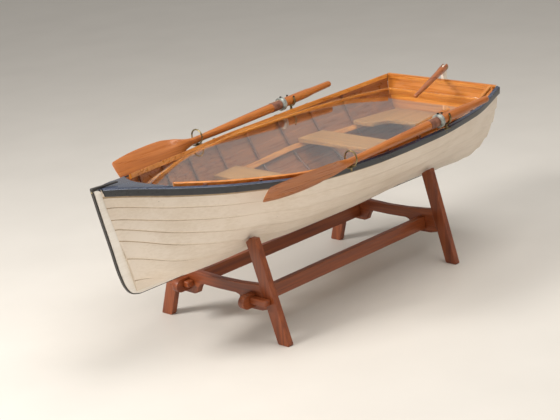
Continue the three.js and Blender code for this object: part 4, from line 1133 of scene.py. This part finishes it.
# ------ stage, light, camera
def pale_floor():
    size = 60
    mesh = bpy.data.meshes.new("floor")
    corners = [(-size, -size, 0), (size, -size, 0), (size, size, 0), (-size, size, 0)]
    mesh.from_pydata(corners, [], [(0, 1, 2, 3)])
    ground = linked("floor", mesh)
    s = Shader("pale_floor", Roughness=0.5)
    s.colour(s.ramp(s.noise(3.0, 3, 0.5), (0.3, rgb(208, 201, 191)), (0.7, rgb(212, 205, 195))))
    mesh.materials.append(s.material)


def studio():
    """Pale world light, brighter overhead."""
    world = bpy.data.worlds.new("studio")
    bpy.context.scene.world = world
    world.use_nodes = True
    tree = world.node_tree
    back = tree.nodes["Background"]
    kinds = ("TexCoord", "SeparateXYZ", "ValToRGB")
    place, split, ramp = (tree.nodes.new("ShaderNode" + kind) for kind in kinds)
    tree.links.new(place.outputs["Generated"], split.inputs[0])
    tree.links.new(split.outputs["Z"], ramp.inputs["Fac"])
    tree.links.new(ramp.outputs["Color"], back.inputs["Color"])
    stops = [(0.0, 0.5), (0.15, 0.62), (0.5, 0.8), (1.0, 0.95)]
    marks = ramp.color_ramp.elements
    for _ in stops[2:]:
        marks.new(0.5)
    for mark, (position, level) in zip(marks, stops):
        mark.position = position
        mark.color = (level, level * 0.99, level * 0.97, 1)
    back.inputs["Strength"].default_value = 0.5


def soft_lamp(name, place, aim, size, power):
    lamp = bpy.data.lights.new(name, "AREA")
    lamp.shape = "RECTANGLE"
    lamp.size, lamp.size_y = size
    lamp.energy = power
    thing = linked(name, lamp)
    thing.location = place
    thing.rotation_mode = "QUATERNION"
    thing.rotation_quaternion = (Vector(aim) - Vector(place)).to_track_quat("-Z", "Y")


def camera():
    """Three-quarter view from above the port bow, slightly rolled, with a long lens."""
    ahead = np.array([math.cos(CAMERA_YAW), math.sin(CAMERA_YAW), 0]) * math.cos(CAMERA_PITCH)
    forward = ahead - [0, 0, math.sin(CAMERA_PITCH)]
    right = np.array([math.sin(CAMERA_YAW), -math.cos(CAMERA_YAW), 0])
    down = np.cross(forward, right)
    turned_right = math.cos(CAMERA_ROLL) * right + math.sin(CAMERA_ROLL) * down
    turned_down = -math.sin(CAMERA_ROLL) * right + math.cos(CAMERA_ROLL) * down
    lens = bpy.data.cameras.new("camera")
    lens.sensor_width = CAMERA_SENSOR
    lens.lens = CAMERA_LENS
    eye = linked("camera", lens)
    axes = Matrix([turned_right, -turned_down, -forward]).transposed().to_4x4()
    eye.matrix_world = Matrix.Translation(Vector(metres(CAMERA_EYE))) @ axes
    bpy.context.scene.camera = eye


bpy.context.scene.view_settings.view_transform = "Standard"
pale_floor()
studio()
soft_lamp("key", (3.0, -1.2, 2.8), (0, 0, 0.3), (1.2, 1.2), 150)
soft_lamp("top", (-0.4, 0.9, 4.0), (0, 0, 0.3), (2.4, 2.4), 95)
soft_lamp("fill", (1.5, 4.2, 1.8), (0, 0, 0.35), (3.0, 2.0), 34)
camera()
